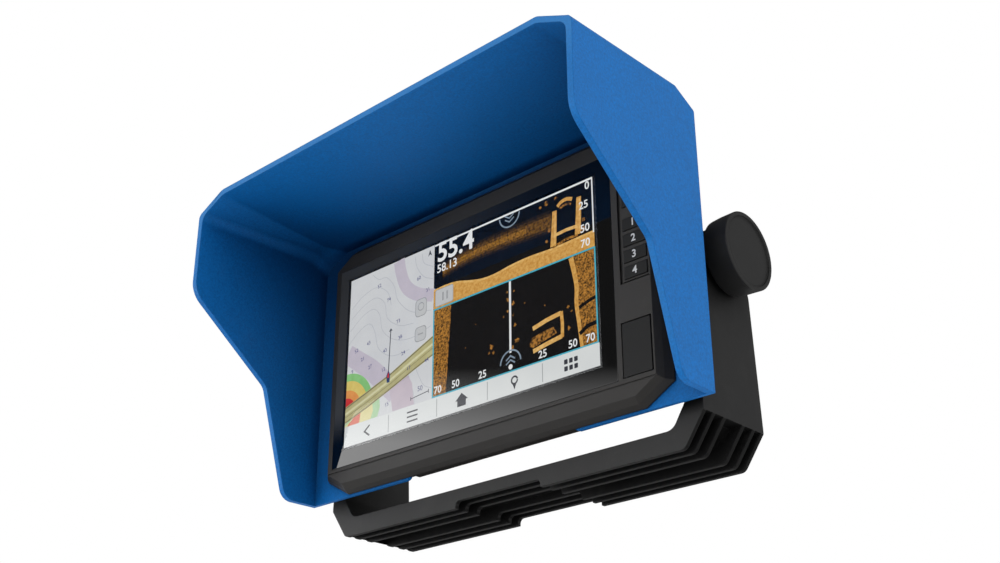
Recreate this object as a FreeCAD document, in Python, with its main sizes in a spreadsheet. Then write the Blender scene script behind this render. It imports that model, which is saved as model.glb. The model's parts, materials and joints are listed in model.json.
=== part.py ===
# Chartplotter display with a one-piece sun visor, carried in a U-shaped bail bracket.
# Frame: +X to the right of a person facing the screen, +Y into the screen, +Z up.
# Origin: middle of the whole unit's outline, on the surface that rests on the dashboard.
# The shapes are drawn about a vertical plane through the tilt axis; every kept piece is then
# placed `origin_shift` further back, so that the origin falls in the middle of the outline.
# All sizes in millimetres.
import FreeCAD, Part
import Sketcher
import math
import os
import re

Vector = FreeCAD.Vector
doc = FreeCAD.newDocument("chartplotter")

# ---------------------------------------------------------------- driving dimensions
# Columns: alias, value, note. A depth is a Y coordinate from the tilt axis.
DIMS = [
    ("pivot_height", 107.0, "tilt axis above the foot"),
    ("foot_half_len", 123.6, "foot: half length on the deck"),
    ("foot_deep", 27.2, "foot and arms: half depth, front to back"),
    ("arm_waist", 24.2, "arms: half depth at the shoulder"),
    ("foot_thick", 11.2, "foot: overall thickness"),
    ("arm_out", 136.1, "arm: outer face from the centre plane"),
    ("arm_in", 126.1, "arm: inner face from the centre plane"),
    ("knee_high", 17.8, "height of the outer knee"),
    ("inner_knee", 117.5, "inner corner of the foot"),
    ("inner_knee_top", 25.0, "height where the inner diagonal meets the arm"),
    ("arm_top", 122.5, "top of the arms"),
    ("skin", 2.5, "bracket: upper skin over the channels"),
    ("web", 2.5, "bracket: thickness of the long webs"),
    ("notch_half", 31.3, "foot: half width of the raised middle"),
    ("notch_rise", 4.3, "foot: lift of the raised middle"),
    ("deck_hole_rad", 2.6, "foot: screw hole radius"),
    ("deck_hole_dx", 90.0, "foot: screw hole from the centre, along X"),
    ("deck_hole_dy", 13.25, "foot: screw hole from the centre, along Y"),
    ("bush_out_rad", 6.0, "arm bush: outer radius"),
    ("stud_rad", 3.0, "knob stud: radius (M6)"),
    ("run_gap", 0.05, "running clearance"),
    ("boss_rad", 12.0, "ring boss on the arm's outer face"),
    ("boss_face", 137.3, "ring boss: outer face"),
    ("knob_rad", 21.75, "knob: radius"),
    ("knob_back", 138.5, "knob: inner face from the centre plane"),
    ("knob_front", 153.4, "knob: outer face from the centre plane"),
    ("face_y", -44.8, "front face of the unit"),
    ("face_half", 121.7, "front face: half width"),
    ("face_lo", 26.5, "front face: lower edge"),
    ("face_hi", 176.5, "front face: upper edge"),
    ("cut_x", 13.3, "front face: corner cut along X"),
    ("cut_z", 7.8, "front face: corner cut along Z"),
    ("mid_grow", 3.0, "bezel: growth of the middle ridge"),
    ("mid_back", 3.0, "bezel: set-back of the middle ridge"),
    ("rim_grow_x", 6.1, "bezel: growth of the outer rim along X"),
    ("rim_grow_z", 4.8, "bezel: growth of the outer rim along Z"),
    ("rim_back", 7.0, "bezel: set-back of the outer rim"),
    ("rim_rear", -37.1, "bezel: rear face of the rim"),
    ("bezel_rear", -30.0, "bezel: rear face"),
    ("spigot_half", 124.8, "bezel: half width behind the rim"),
    ("spigot_lo", 24.7, "bezel: lower face behind the rim"),
    ("spigot_hi", 178.2, "bezel: upper face behind the rim"),
    ("bezel_wall", 3.8, "bezel: thickness of the front wall"),
    ("chin_left", -57.5, "bezel chin: left end"),
    ("chin_right", 62.5, "bezel chin: right end"),
    ("glass_left", -118.0, "touch glass: left edge"),
    ("glass_right", 98.7, "touch glass: right edge"),
    ("glass_lo", 36.9, "touch glass: lower edge"),
    ("glass_hi", 167.0, "touch glass: upper edge"),
    ("glass_thick", 1.8, "touch glass: thickness"),
    ("gasket_thick", 0.5, "glass gasket: thickness"),
    ("lit_left", -108.9, "lit picture: left edge"),
    ("lit_right", 87.9, "lit picture: right edge"),
    ("lit_lo", 48.1, "lit picture: lower edge"),
    ("lit_hi", 158.8, "lit picture: upper edge"),
    ("key_x", 113.1, "keys: centre line"),
    ("key_w", 14.2, "keys: width"),
    ("key_tall", 6.8, "number keys: height"),
    ("key_first", 93.75, "lowest number key: centre height"),
    ("key_pitch", 9.2, "number keys: pitch"),
    ("power_z", 137.6, "power key: centre height"),
    ("power_tall", 11.6, "power key: height"),
    ("door_left", 102.3, "card door: left edge"),
    ("door_right", 119.9, "card door: right edge"),
    ("door_lo", 37.6, "card door: lower edge"),
    ("door_hi", 66.7, "card door: upper edge"),
    ("visor_half", 146.6, "visor: half width outside, at the rear"),
    ("visor_flare", 0.4, "visor: outward lean of each side wall, rear to front"),
    ("visor_off", 1.6, "visor: middle of the shell, right of the screen unit's middle"),
    ("visor_wall", 3.6, "visor: wall"),
    ("visor_front", -135.3, "visor: front edge"),
    ("visor_mid", -50.0, "visor: start of the rear corner slope"),
    ("visor_rear", -34.5, "visor: rear face"),
    ("visor_plate", 2.4, "visor: rear plate thickness"),
    ("visor_foot", 20.6, "visor: lower edge"),
    ("visor_top", 193.3, "visor: top at the front"),
    ("ear_in", 115.2, "cradle ear: inner face"),
    ("ear_out", 124.4, "cradle ear: outer face"),
    ("ear_rad", 15.5, "cradle ear: radius around the tilt axis"),
    ("insert_rad", 5.0, "thread insert: outer radius"),
    ("case_rear", 4.0, "rear housing: rear face"),
    ("cradle_front", 4.6, "cradle: front face"),
    ("cradle_thick", 5.0, "cradle: plate thickness"),
    ("lever_pin_rad", 1.5, "release lever pin: radius"),
    ("lever_pin_y", 12.9, "release lever pin: depth"),
    ("lever_pin_z", 122.0, "release lever pin: height"),
    ("socket_rad", 9.0, "rear socket: radius"),
    ("origin_shift", 54.05, "tilt axis behind the origin"),
]
sheet = doc.addObject("Spreadsheet::Sheet", "dims")
DIM_VALUE = {}
for row, (alias, size, note) in enumerate(DIMS, 1):
    sheet.set("A%d" % row, note)
    sheet.set("B%d" % row, str(size))
    sheet.setAlias("B%d" % row, alias)
    DIM_VALUE[alias] = float(size)
doc.recompute()

# ---------------------------------------------------------------- sizes
# A size is a number, or a text holding a plain sum of sheet names and numbers, without
# brackets. Each term may be multiplied or divided by numbers.
TERM = re.compile(r"([+-]?)([A-Za-z_]\w*|\d+\.?\d*)((?:[*/]\d+\.?\d*)*)")


def is_number(size):
    return isinstance(size, (int, float))


def number(size):
    """Numeric value of a size."""
    if is_number(size):
        return float(size)
    result = 0.0
    for sign, atom, tail in TERM.findall(size.replace(" ", "")):
        term = float(atom) if atom[0].isdigit() else DIM_VALUE[atom]
        for operator, factor in re.findall(r"([*/])(\d+\.?\d*)", tail):
            term = term * float(factor) if operator == "*" else term / float(factor)
        result += -term if sign == "-" else term
    return result


def expression(size):
    """FreeCAD expression for a size."""
    return re.sub(r"[A-Za-z_]\w*", lambda name: "dims." + name.group(0), str(size))


def flip(size):
    """The same size with every sign turned round."""
    if is_number(size):
        return -size
    signed = size if size[0] in "+-" else "+" + size
    return signed.replace("-", "~").replace("+", "-").replace("~", "+")


def total(first, second):
    """Sum of two sizes."""
    if is_number(first) and is_number(second):
        return first + second
    second = str(second)
    return str(first) + (second if second[0] in "+-" else "+" + second)


def bind(obj, prop, size):
    """Tie a property to the sheet, unless its size is a plain number."""
    if not is_number(size):
        obj.setExpression(prop, expression(size))


def set_length(obj, prop, lo, hi):
    """Set a property to the distance from lo to hi."""
    setattr(obj, prop, number(hi) - number(lo))
    if not (is_number(lo) and is_number(hi)):
        obj.setExpression(prop, "(" + expression(hi) + ")-(" + expression(lo) + ")")


def mirror(points):
    """The points with their first coordinate turned round."""
    return [(flip(across), up) for across, up in points]


def octagon(half, low, high, cut_x, cut_z):
    """Rectangle about the centre plane with its four corners cut."""
    narrow = total(half, flip(cut_x))
    right = [(half, total(low, cut_z)), (half, total(high, flip(cut_z))), (narrow, high)]
    return right + mirror(right)[::-1] + [(flip(narrow), low), (narrow, low)]


def placed(side, size):
    """X coordinate on one side, from its distance to the centre plane."""
    return size if side == "right" else flip(size)


def between(side, inner, outer):
    """Low and high X of a span on one side, from its inner and outer distances."""
    ends = (placed(side, inner), placed(side, outer))
    return ends if side == "right" else ends[::-1]


# ---------------------------------------------------------------- sketches
# An axis letter gives the direction a shape is extruded in. The sketch's own coordinates are
# then the other two, in X, Y, Z order.
PLANE = {"x": "YZ_Plane", "y": "XZ_Plane", "z": "XY_Plane"}


def new_object(kind, name):
    obj = doc.addObject(kind, name)
    obj.Label = name
    return obj


def new_body(name):
    return new_object("PartDesign::Body", name)


def new_sketch(body, axis, at):
    """Sketch square to an axis, at coordinate `at` on it."""
    plane = [o for o in body.Origin.OriginFeatures if o.Role == PLANE[axis]][0]
    sketch = body.newObject("Sketcher::SketchObject", body.Name + "_sketch")
    sketch.AttachmentSupport = (plane, [""])
    sketch.MapMode = "FlatFace"
    # the normal of the XZ plane points towards -Y
    offset = flip(at) if axis == "y" else at
    sketch.AttachmentOffset = FreeCAD.Placement(Vector(0, 0, number(offset)), FreeCAD.Rotation())
    bind(sketch, "AttachmentOffset.Base.z", offset)
    return sketch


def constrain(sketch, constraint, size):
    """Add a constraint that carries a size, bound to the sheet."""
    index = sketch.addConstraint(constraint)
    if not is_number(size):
        name = "c%d" % index
        sketch.renameConstraint(index, name)
        bind(sketch, "Constraints." + name, size)


def pin(sketch, geometry, point, across, up):
    """Fix a point of the sketch at (across, up)."""
    for kind, size, zero_axis in (("DistanceX", across, -2), ("DistanceY", up, -1)):
        distance = number(size)
        if abs(distance) < 1e-9:
            sketch.addConstraint(
                Sketcher.Constraint("PointOnObject", geometry, point, zero_axis))
        else:
            constrain(sketch, Sketcher.Constraint(kind, -1, 1, geometry, point, distance), size)


def draw_poly(sketch, points):
    base = sketch.GeometryCount
    count = len(points)
    corners = [Vector(number(across), number(up), 0) for across, up in points]
    for i in range(count):
        sketch.addGeometry(Part.LineSegment(corners[i], corners[(i + 1) % count]), False)
    for i in range(count):
        sketch.addConstraint(
            Sketcher.Constraint("Coincident", base + i, 2, base + (i + 1) % count, 1))
    for i, (across, up) in enumerate(points):
        pin(sketch, base + i, 1, across, up)


def draw_rect(sketch, left, low, right, high):
    draw_poly(sketch, [(left, low), (right, low), (right, high), (left, high)])


def draw_circle(sketch, across, up, radius):
    centre = Vector(number(across), number(up), 0)
    circle = Part.Circle(centre, Vector(0, 0, 1), number(radius))
    geometry = sketch.addGeometry(circle, False)
    pin(sketch, geometry, 3, across, up)
    constrain(sketch, Sketcher.Constraint("Radius", geometry, number(radius)), radius)


DRAW = {"poly": draw_poly, "rect": draw_rect, "circle": draw_circle}


# ---------------------------------------------------------------- body features
def finish(body, feature):
    body.Tip = feature
    doc.recompute()


def extrude(body, kind, axis, lo, hi, shapes):
    """Pad or pocket the shapes from lo to hi on the axis."""
    sketch = new_sketch(body, axis, lo)
    for shape, *sizes in shapes:
        DRAW[shape](sketch, *sizes)
    feature = body.newObject("PartDesign::" + kind, body.Name + "_" + kind.lower())
    feature.Profile = sketch
    set_length(feature, "Length", lo, hi)
    feature.Reversed = (axis == "y") == (kind == "Pad")
    finish(body, feature)


def add(body, axis, lo, hi, *shapes):
    extrude(body, "Pad", axis, lo, hi, shapes)


def cut(body, axis, lo, hi, *shapes):
    before = body.Shape.Volume
    extrude(body, "Pocket", axis, lo, hi, shapes)
    if not body.Shape.Volume < before - 1e-6:
        raise SystemExit("pocket removed nothing in " + body.Name)


def loft(body, *sections, kind="AdditiveLoft"):
    """Ruled loft through sections of (depth, outline)."""
    sketches = []
    for depth, points in sections:
        sketch = new_sketch(body, "y", depth)
        draw_poly(sketch, points)
        sketches.append(sketch)
    feature = body.newObject("PartDesign::" + kind, body.Name + "_loft")
    feature.Profile = sketches[0]
    feature.Sections = sketches[1:]
    feature.Ruled = True
    feature.Closed = False
    finish(body, feature)


def round_edges(body, radius, chosen):
    """Fillet the edges whose bounding box passes the test `chosen`."""
    tip = body.Tip
    names = ["Edge%d" % i for i, edge in enumerate(tip.Shape.Edges, 1) if chosen(edge.BoundBox)]
    if not names:
        raise SystemExit("no edge to round in " + body.Name)
    feature = body.newObject("PartDesign::Fillet", body.Name + "_fillet")
    feature.Base = (tip, names)
    feature.Radius = radius
    finish(body, feature)
    failed = "Invalid" in feature.State or "Error" in feature.State
    if failed or feature.Shape.isNull() or not feature.Shape.isValid():
        raise SystemExit("rounding failed in " + body.Name)


def near(first, second, tol=0.05):
    return abs(first - second) < tol


def along(box, axis):
    """True when an edge box runs along one axis only."""
    extent = {"x": box.XLength, "y": box.YLength, "z": box.ZLength}
    return extent.pop(axis) > 1e-3 and all(length < 1e-3 for length in extent.values())


def edges_at(axis, across, height, tol=0.05):
    """Test for edges along x or y, at +-across on the other of these axes and at a height."""
    def chosen(box):
        position = box.XMin if axis == "y" else box.YMin
        return (along(box, axis) and near(abs(position), number(across), tol)
                and near(box.ZMin, number(height), tol))
    return chosen


def front_edges(depth):
    """Test for the edges lying in the front face at a depth."""
    return lambda box: near(box.YMax, number(depth), 1e-3)


# ---------------------------------------------------------------- Part objects
def place(obj, position, rotation):
    obj.Placement = FreeCAD.Placement(Vector(*[number(p) for p in position]), rotation)
    for axis, size in zip("xyz", position):
        bind(obj, "Placement.Base." + axis, size)


def block(name, x0, x1, y0, y1, z0, z1):
    box = new_object("Part::Box", name)
    set_length(box, "Length", x0, x1)
    set_length(box, "Width", y0, y1)
    set_length(box, "Height", z0, z1)
    place(box, (x0, y0, z0), FreeCAD.Rotation())
    return box


TURN = {
    "x": FreeCAD.Rotation(Vector(0, 1, 0), 90),
    "y": FreeCAD.Rotation(Vector(1, 0, 0), -90),
    "z": FreeCAD.Rotation(),
}


def rod(name, axis, radius, lo, hi, first, second):
    """Cylinder from lo to hi on an axis; its other coordinates come in X, Y, Z order."""
    cylinder = new_object("Part::Cylinder", name)
    cylinder.Radius = number(radius)
    bind(cylinder, "Radius", radius)
    set_length(cylinder, "Height", lo, hi)
    position = {"x": (lo, first, second), "y": (first, lo, second), "z": (first, second, lo)}
    place(cylinder, position[axis], TURN[axis])
    return cylinder


def difference(name, base, tool):
    result = new_object("Part::Cut", name)
    result.Base = base
    result.Tool = tool
    return result


def union(name, *objects):
    result = new_object("Part::MultiFuse", name)
    result.Shapes = list(objects)
    return result


PIECES = []


def keep(obj):
    """List a finished piece and place it in the unit's frame."""
    bound = [text for path, text in obj.ExpressionEngine
             if path.lstrip(".") == "Placement.Base.y"]
    start = "(" + bound[0] + ")" if bound else repr(obj.Placement.Base.y)
    obj.setExpression("Placement.Base.y", start + "+dims.origin_shift")
    PIECES.append(obj)


def keep_group(name, objects):
    """Keep several solids as one piece."""
    group = new_object("Part::Compound", name)
    group.Links = objects
    keep(group)


def keep_tilt_ring(name, side, radius, bore, inner, outer):
    """Ring around the tilt axis on one side, between two distances from the centre plane."""
    lo, hi = between(side, inner, outer)
    blank = rod(name + "_blank", "x", radius, lo, hi, 0, "pivot_height")
    hole = rod(name + "_bore", "x", bore, lo + "-1", hi + "+1", 0, "pivot_height")
    keep(difference(name + "_" + side, blank, hole))


# ---------------------------------------------------------------- bail bracket
def bail_bracket():
    """U-shaped moulding: foot, two diagonals and two arms.

    The underside is open, with long webs between the front and rear walls; the middle of
    the foot is raised off the deck.
    """
    shoulder_z = 93
    arm_top_half = 16   # half depth at the top of the arms
    clear_y = 34        # beyond the arms, front and rear
    web_y = (8.5, 18)   # middle of each web, from the centre

    bail = new_body("bail_bracket")
    right = [
        ("foot_half_len", 0), ("arm_out", "knee_high"), ("arm_out", "arm_top"),
        ("arm_in", "arm_top"), ("arm_in", "inner_knee_top"), ("inner_knee", "foot_thick"),
    ]
    add(bail, "y", "-foot_deep", "foot_deep", ("poly", right + mirror(right)[::-1]))
    round_edges(bail, 4.5, edges_at("y", "foot_half_len", 0))
    round_edges(bail, 7.0, edges_at("y", "inner_knee", "foot_thick"))
    round_edges(bail, 12.0, edges_at("y", "arm_in", "inner_knee_top"))

    # the arms narrow towards the tilt axis, first at the rear, then at the front
    taper = [
        ("foot_deep", "knee_high+2"), ("arm_waist", shoulder_z), (arm_top_half, "arm_top"),
        (arm_top_half, "arm_top+2"), (clear_y, "arm_top+2"), (clear_y, "knee_high+2"),
    ]
    for points in (taper, mirror(taper)):
        cut(bail, "x", "-arm_out-1", "arm_out+1", ("poly", points))
    round_edges(bail, 14.0, edges_at("x", arm_top_half, "arm_top", tol=0.2))
    round_edges(bail, 14.0, edges_at("x", "arm_waist", shoulder_z, tol=0.2))
    round_edges(bail, 1.2, edges_at("y", "arm_out", "knee_high"))

    # ring bosses around the tilt axis on the outer faces
    for side in ("right", "left"):
        lo, hi = between(side, "arm_out-1", "boss_face")
        add(bail, "x", lo, hi, ("circle", 0, "pivot_height", "boss_rad"))

    # raised middle of the foot, from front to back
    cut(bail, "y", "-foot_deep-1", "foot_deep+1",
        ("rect", "-notch_half", -1, "notch_half", "notch_rise"))
    round_edges(bail, 3.0, edges_at("y", "notch_half", "notch_rise"))

    # Open channels under the foot and the diagonals. On the left only the leading name
    # changes sign, so the small offsets point to the right on both sides.
    channel = [
        ("foot_half_len+1", -2), ("arm_out+2.2", "knee_high"), ("arm_in+skin", "knee_high"),
        ("arm_in+skin", "knee_high-1"), ("inner_knee+1.9", "foot_thick-0.6"),
        ("inner_knee-4.5", "foot_thick-skin"),
    ]
    channel += [("-" + across, up) for across, up in reversed(channel)]
    near_web, far_web = web_y
    for lo, hi in (
        ("-foot_deep+web", f"-{far_web}-web/2"),
        (f"-{far_web}+web/2", f"-{near_web}-web/2"),
        (f"-{near_web}+web/2", f"{near_web}-web/2"),
        (f"{near_web}+web/2", f"{far_web}-web/2"),
        (f"{far_web}+web/2", "foot_deep-web"),
    ):
        cut(bail, "y", lo, hi, ("poly", channel))

    # screw holes down through the skin, and bores for the arm bushes
    deck_holes = [("circle", sign_x + "deck_hole_dx", sign_y + "deck_hole_dy", "deck_hole_rad")
                  for sign_x in ("", "-") for sign_y in ("", "-")]
    cut(bail, "z", 0, "foot_thick+1", *deck_holes)
    cut(bail, "x", "-boss_face-1", "boss_face+1", ("circle", 0, "pivot_height", "bush_out_rad"))
    keep(bail)


def arm_rings(side):
    """Bush in the arm, and the washer between the arm and the cradle ear."""
    keep_tilt_ring("arm_bush", side, radius="bush_out_rad", bore="stud_rad+run_gap",
                   inner="arm_in", outer="boss_face")
    keep_tilt_ring("friction_washer", side, radius=11.5, bore="stud_rad+0.4",
                   inner="ear_out+run_gap", outer="arm_in")


# ---------------------------------------------------------------- front bezel
# Housing screws: (x, z)
SCREWS = [
    (-112.0, 36.5), (112.0, 33.8), (-112.0, 166.5), (112.0, 169.2),
    (-117.3, 101.5), (117.3, 77.0), (-10, 33.6), (-10, 169.3),
]
DOOR_HINGE = ("door_left+1.1", "face_y+1.2")  # x, y of the card door's pin


def screw_circles(radius):
    return [("circle", x, z, radius) for x, z in SCREWS]


def spigot_octagon(inset, inset_z, grow_x, grow_z):
    """Bezel outline behind the rim, drawn in; grow_x and grow_z enlarge the corner cuts."""
    return octagon(f"spigot_half-{inset}", f"spigot_lo+{inset_z}", f"spigot_hi-{inset_z}",
                   f"cut_x+{grow_x}", f"cut_z+{grow_z}")


def front_bezel():
    bezel = new_body("front_bezel")
    rim = octagon("face_half+rim_grow_x", "face_lo-rim_grow_z", "face_hi+rim_grow_z",
                  "cut_x+4.4", "cut_z+2.3")
    loft(bezel,
         ("face_y", octagon("face_half", "face_lo", "face_hi", "cut_x", "cut_z")),
         ("face_y+mid_back", octagon("face_half+mid_grow", "face_lo-3.4", "face_hi+3.4",
                                     "cut_x+3", "cut_z+1.4")),
         ("face_y+rim_back", rim))
    add(bezel, "y", "face_y+rim_back", "rim_rear", ("poly", rim))
    add(bezel, "y", "rim_rear-1", "bezel_rear", ("poly", spigot_octagon(0, 0, 3, 1.4)))
    # chin: the lower face runs back between the visor's two feet
    add(bezel, "y", "rim_rear-1", "bezel_rear",
        ("rect", "chin_left", "face_lo-rim_grow_z+1.2", "chin_right", "spigot_lo+1"))
    # snap lugs that hold the visor's rear plate
    for low, high in ((58, 78), (136, 156)):
        for side in ("right", "left"):
            left_x, right_x = between(side, "spigot_half-1", "spigot_half+0.9")
            add(bezel, "y", "visor_rear+0.2", "bezel_rear",
                ("rect", left_x, low, right_x, high))

    # cavity from the rear, then bosses with blind holes for the screws
    cut(bezel, "y", "face_y+bezel_wall", "bezel_rear+1",
        ("poly", spigot_octagon(3.6, 4.8, 1.5, 1)))
    for boss in screw_circles(3.0):
        add(bezel, "y", "face_y+bezel_wall-0.5", "bezel_rear", boss)
    cut(bezel, "y", -37.5, "bezel_rear+1", *screw_circles(1.25))

    in_front, behind_wall = "face_y-1", "face_y+bezel_wall+1"
    # seat for the glass, then the picture opening
    cut(bezel, "y", in_front, "face_y+glass_thick+gasket_thick",
        ("rect", "glass_left-0.1", "glass_lo-0.1", "glass_right+0.1", "glass_hi+0.1"))
    cut(bezel, "y", "face_y", behind_wall,
        ("rect", "lit_left-5", "lit_lo-5", "lit_right+5", "lit_hi+5"))
    # fine parting groove above the chin
    cut(bezel, "y", in_front, "face_y+0.45",
        ("rect", "-face_half-1", "face_lo+cut_z-0.3", "face_half+1", "face_lo+cut_z+0.3"))
    # key panel pocket, then the key opening
    cut(bezel, "y", in_front, "face_y+1.3", ("rect", 102.9, 88.4, 121.05, 148.2))
    cut(bezel, "y", "face_y", behind_wall, ("rect", 105.1, 89.9, 120.5, 146.4))
    # card bay, with the hinge pin's holes above and below
    cut(bezel, "y", in_front, behind_wall,
        ("rect", "door_left-0.4", "door_lo-0.4", "door_right+0.85", "door_hi+0.4"))
    cut(bezel, "z", "door_lo-2", "door_hi+2", ("circle", *DOOR_HINGE, 0.46))
    keep(bezel)


# ---------------------------------------------------------------- glass, picture and backlight
def display_stack():
    """Touch glass, the gasket ring behind it and the picture panel."""
    glass_rear = "face_y+glass_thick"
    keep(block("touch_glass", "glass_left", "glass_right", "face_y", glass_rear,
               "glass_lo", "glass_hi"))
    sheet_blank = block("gasket_blank", "glass_left+0.5", "glass_right-0.5",
                        glass_rear, glass_rear + "+gasket_thick",
                        "glass_lo+0.5", "glass_hi-0.5")
    opening = block("gasket_opening", "lit_left-4.6", "lit_right+4.6", "face_y", "face_y+5",
                    "lit_lo-4.6", "lit_hi+4.6")
    keep(difference("glass_gasket", sheet_blank, opening))
    keep(block("lcd_panel", "lit_left-3.5", "lit_right+3.5", glass_rear + "+0.1", "face_y+5.2",
               "lit_lo-3.5", "lit_hi+3.5"))


def backlight_frame():
    """Tray with its open side to the rear."""
    tray = new_body("backlight_frame")
    add(tray, "y", "face_y+5.3", "face_y+10.2",
        ("rect", "lit_left-4.2", "lit_lo-3.8", "lit_right+4.2", "lit_hi+3.8"))
    cut(tray, "y", "face_y+6.3", "face_y+12",
        ("rect", "lit_left+8", "lit_lo+8", "lit_right-8", "lit_hi-8"))
    left, right = number("lit_left"), number("lit_right")
    round_edges(tray, 1.5,
                lambda box: along(box, "y") and (box.XMin < left or box.XMin > right))
    keep(tray)


# ---------------------------------------------------------------- electronics
BOARD_FRONT, BOARD_REAR = -30.6, -29.0
MOUNT_Y = BOARD_REAR + 0.05  # front of the parts on the board's rear face


def main_board():
    board = new_body("main_board")
    holes = [("circle", x, z, 1.7) for x in (-101, 82) for z in (53, 151)]
    add(board, "y", BOARD_FRONT, BOARD_REAR, ("rect", -105, 47, 88, 157), *holes)
    keep(board)


def shield_can():
    """Thin box, open towards the board."""
    left, right, low, high = -62, 22, 82, 142
    rear = -25.4
    wall = 0.4
    outside = block("can_outside", left, right, MOUNT_Y, rear, low, high)
    inside = block("can_inside", left + wall, right - wall, BOARD_REAR - 0.5, rear - wall,
                   low + wall, high - wall)
    keep(difference("shield_can", outside, inside))


def heat_spreader():
    """Plate behind the shield can, with upright fins to the rear."""
    fin_first, fin_pitch, fin_thick = -60, 15, 3
    spreader = new_body("heat_spreader")
    add(spreader, "y", -25.35, -22.4, ("rect", -66, 78, 26, 146))
    for i in range(6):
        left = fin_first + fin_pitch * i
        add(spreader, "y", -22.5, -14, ("rect", left, 80, left + fin_thick, 144))
    keep(spreader)


def small_electronics():
    keep(block("gnss_antenna", 45, 70, MOUNT_Y, -24.5, 128, 153))
    keep(rod("buzzer", "y", 7, MOUNT_Y, -24.0, -85, 64))
    keep(block("card_reader", 103.4, 118.6, -39.5, -32.5, 41, 63.5))


# ---------------------------------------------------------------- keypad
# Keys: (name, centre height, height); the number keys from the lowest up
KEYS = [("key_power", "power_z", "power_tall")]
KEYS += [(f"key_{4 - i}", f"key_first+key_pitch*{i}", "key_tall") for i in range(4)]


def key_rect(z, tall, gap=0):
    """Outline of a key, with a gap around it."""
    return ("rect", f"key_x-key_w/2-{gap}", f"{z}-{tall}/2-{gap}",
            f"key_x+key_w/2+{gap}", f"{z}+{tall}/2+{gap}")


def keypad_plate():
    plate = new_body("keypad_plate")
    add(plate, "y", "face_y+0.2", "face_y+1.25", ("rect", 104.5, 89.1, 120.95, 147.3))
    cut(plate, "y", "face_y-1", "face_y+3",
        *[key_rect(z, tall, gap=0.25) for _, z, tall in KEYS])
    keep(plate)


def key(name, z, tall):
    """Key cap with a smaller stem behind it."""
    front = "face_y-0.25"
    stem_half_x, stem_half_z = 4, 1.8
    cap = new_body(name)
    add(cap, "y", front, "face_y+1.6", key_rect(z, tall))
    round_edges(cap, 0.5, lambda box: along(box, "y"))
    round_edges(cap, 0.22, front_edges(front))
    add(cap, "y", "face_y+1.5", "face_y+2.9",
        ("rect", f"key_x-{stem_half_x}", f"{z}-{stem_half_z}",
         f"key_x+{stem_half_x}", f"{z}+{stem_half_z}"))
    keep(cap)


def keypad_layers():
    """Mat behind the keys and the board behind the mat."""
    left, right = 104.2, 120.6
    keep(block("keypad_mat", left, right, -40.9, -39.7, 88.6, 147.8))
    keep(block("key_board", left, right, -39.65, -38.4, 86.5, 149.5))


# ---------------------------------------------------------------- card door
def card_door():
    front = "face_y+0.08"
    door = new_body("card_door")
    add(door, "y", front, "face_y+1.9",
        ("rect", "door_left", "door_lo", "door_right", "door_hi"))
    round_edges(door, 0.3, front_edges(front))
    # upright strip on the rear, near the right edge
    add(door, "y", "face_y+1.8", "face_y+3.6",
        ("rect", "door_right-1.9", "door_lo+10", "door_right-0.9", "door_hi-10"))
    cut(door, "z", "door_lo-1", "door_hi+1", ("circle", *DOOR_HINGE, 0.49))
    keep(door)
    keep(rod("door_pin", "z", 0.45, "door_lo-1.9", "door_hi+1.9", *DOOR_HINGE))


# ---------------------------------------------------------------- sun visor
def hood(half, low, side_top, top_half, top):
    """Visor section: side walls up to side_top, then slopes in to the flat top."""
    right = [(half, low), (half, side_top), (top_half, top)]
    return [(total(x, "visor_off"), z) for x, z in right + mirror(right)[::-1]]


def sun_visor():
    """One-piece moulded shell: two side walls, top, sloped upper corners and a rear plate.

    The plate has a window that sits behind the bezel's rim. The rear upper corners slope down.
    """
    front_half = "visor_half+visor_flare"
    mid_half = "visor_half+visor_flare*0.174"
    inside_low = "visor_foot-5"
    visor = new_body("sun_visor")
    loft(visor,
         ("visor_front", hood(front_half, "visor_foot", 183.2, 125.3, "visor_top")),
         ("visor_mid", hood(mid_half, "visor_foot", 187.4, 132.0, "visor_top-2.2")),
         ("visor_rear", hood("visor_half", "visor_foot", 179.4, 125.0, "visor_top-3.2")))
    loft(visor,
         ("visor_front-1", hood(front_half + "-visor_wall", inside_low, 181.2, 124.2,
                                "visor_top-visor_wall")),
         ("visor_mid-1", hood(mid_half + "-visor_wall", inside_low, 185.2, 130.0,
                              "visor_top-2.2-visor_wall")),
         ("visor_rear-visor_plate", hood("visor_half-visor_wall", inside_low, 178.1, 123.6,
                                         "visor_top-3.1-visor_wall")),
         kind="SubtractiveLoft")

    # window for the bezel, and the gap between the two feet
    plate = ("visor_rear-visor_plate-1", "visor_rear+1")
    gap_left, gap_right = "chin_left-1", "chin_right+1"
    cut(visor, "y", *plate,
        ("poly", octagon("spigot_half+0.4", "spigot_lo-0.4", "spigot_hi+0.4",
                         "cut_x+3", "cut_z+1.4")))
    cut(visor, "y", *plate, ("rect", gap_left, "visor_foot-6", gap_right, "spigot_lo+3"))

    # side profile (y, z): the front edges drop straight, then slope back to the feet
    brow = ("visor_front", 131.7)
    bend = (-79.5, 87.2)
    heel = (-60.2, "visor_foot")
    cut(visor, "x", "-visor_half-4", "visor_half+4",
        ("poly", [("visor_front-2", 10), ("visor_front-2", 133.3), brow, bend, heel,
                  (heel[0], 10)]))
    for radius, (y, z) in ((16.0, brow), (9.0, bend), (9.0, heel)):
        at_corner = edges_at("x", flip(y), z, tol=0.15)
        # only the short edges across a side wall
        round_edges(visor, radius, lambda box: at_corner(box) and box.XLength < 6)
    gap_ends = (number(gap_left), number(gap_right))
    round_edges(visor, 3.0, lambda box: along(box, "y")
                and near(box.ZMin, number("visor_foot"))
                and any(near(box.XMin, x) for x in gap_ends))
    keep(visor)


# ---------------------------------------------------------------- rear housing and seal
VENT = (80, 156)  # x, z


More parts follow.
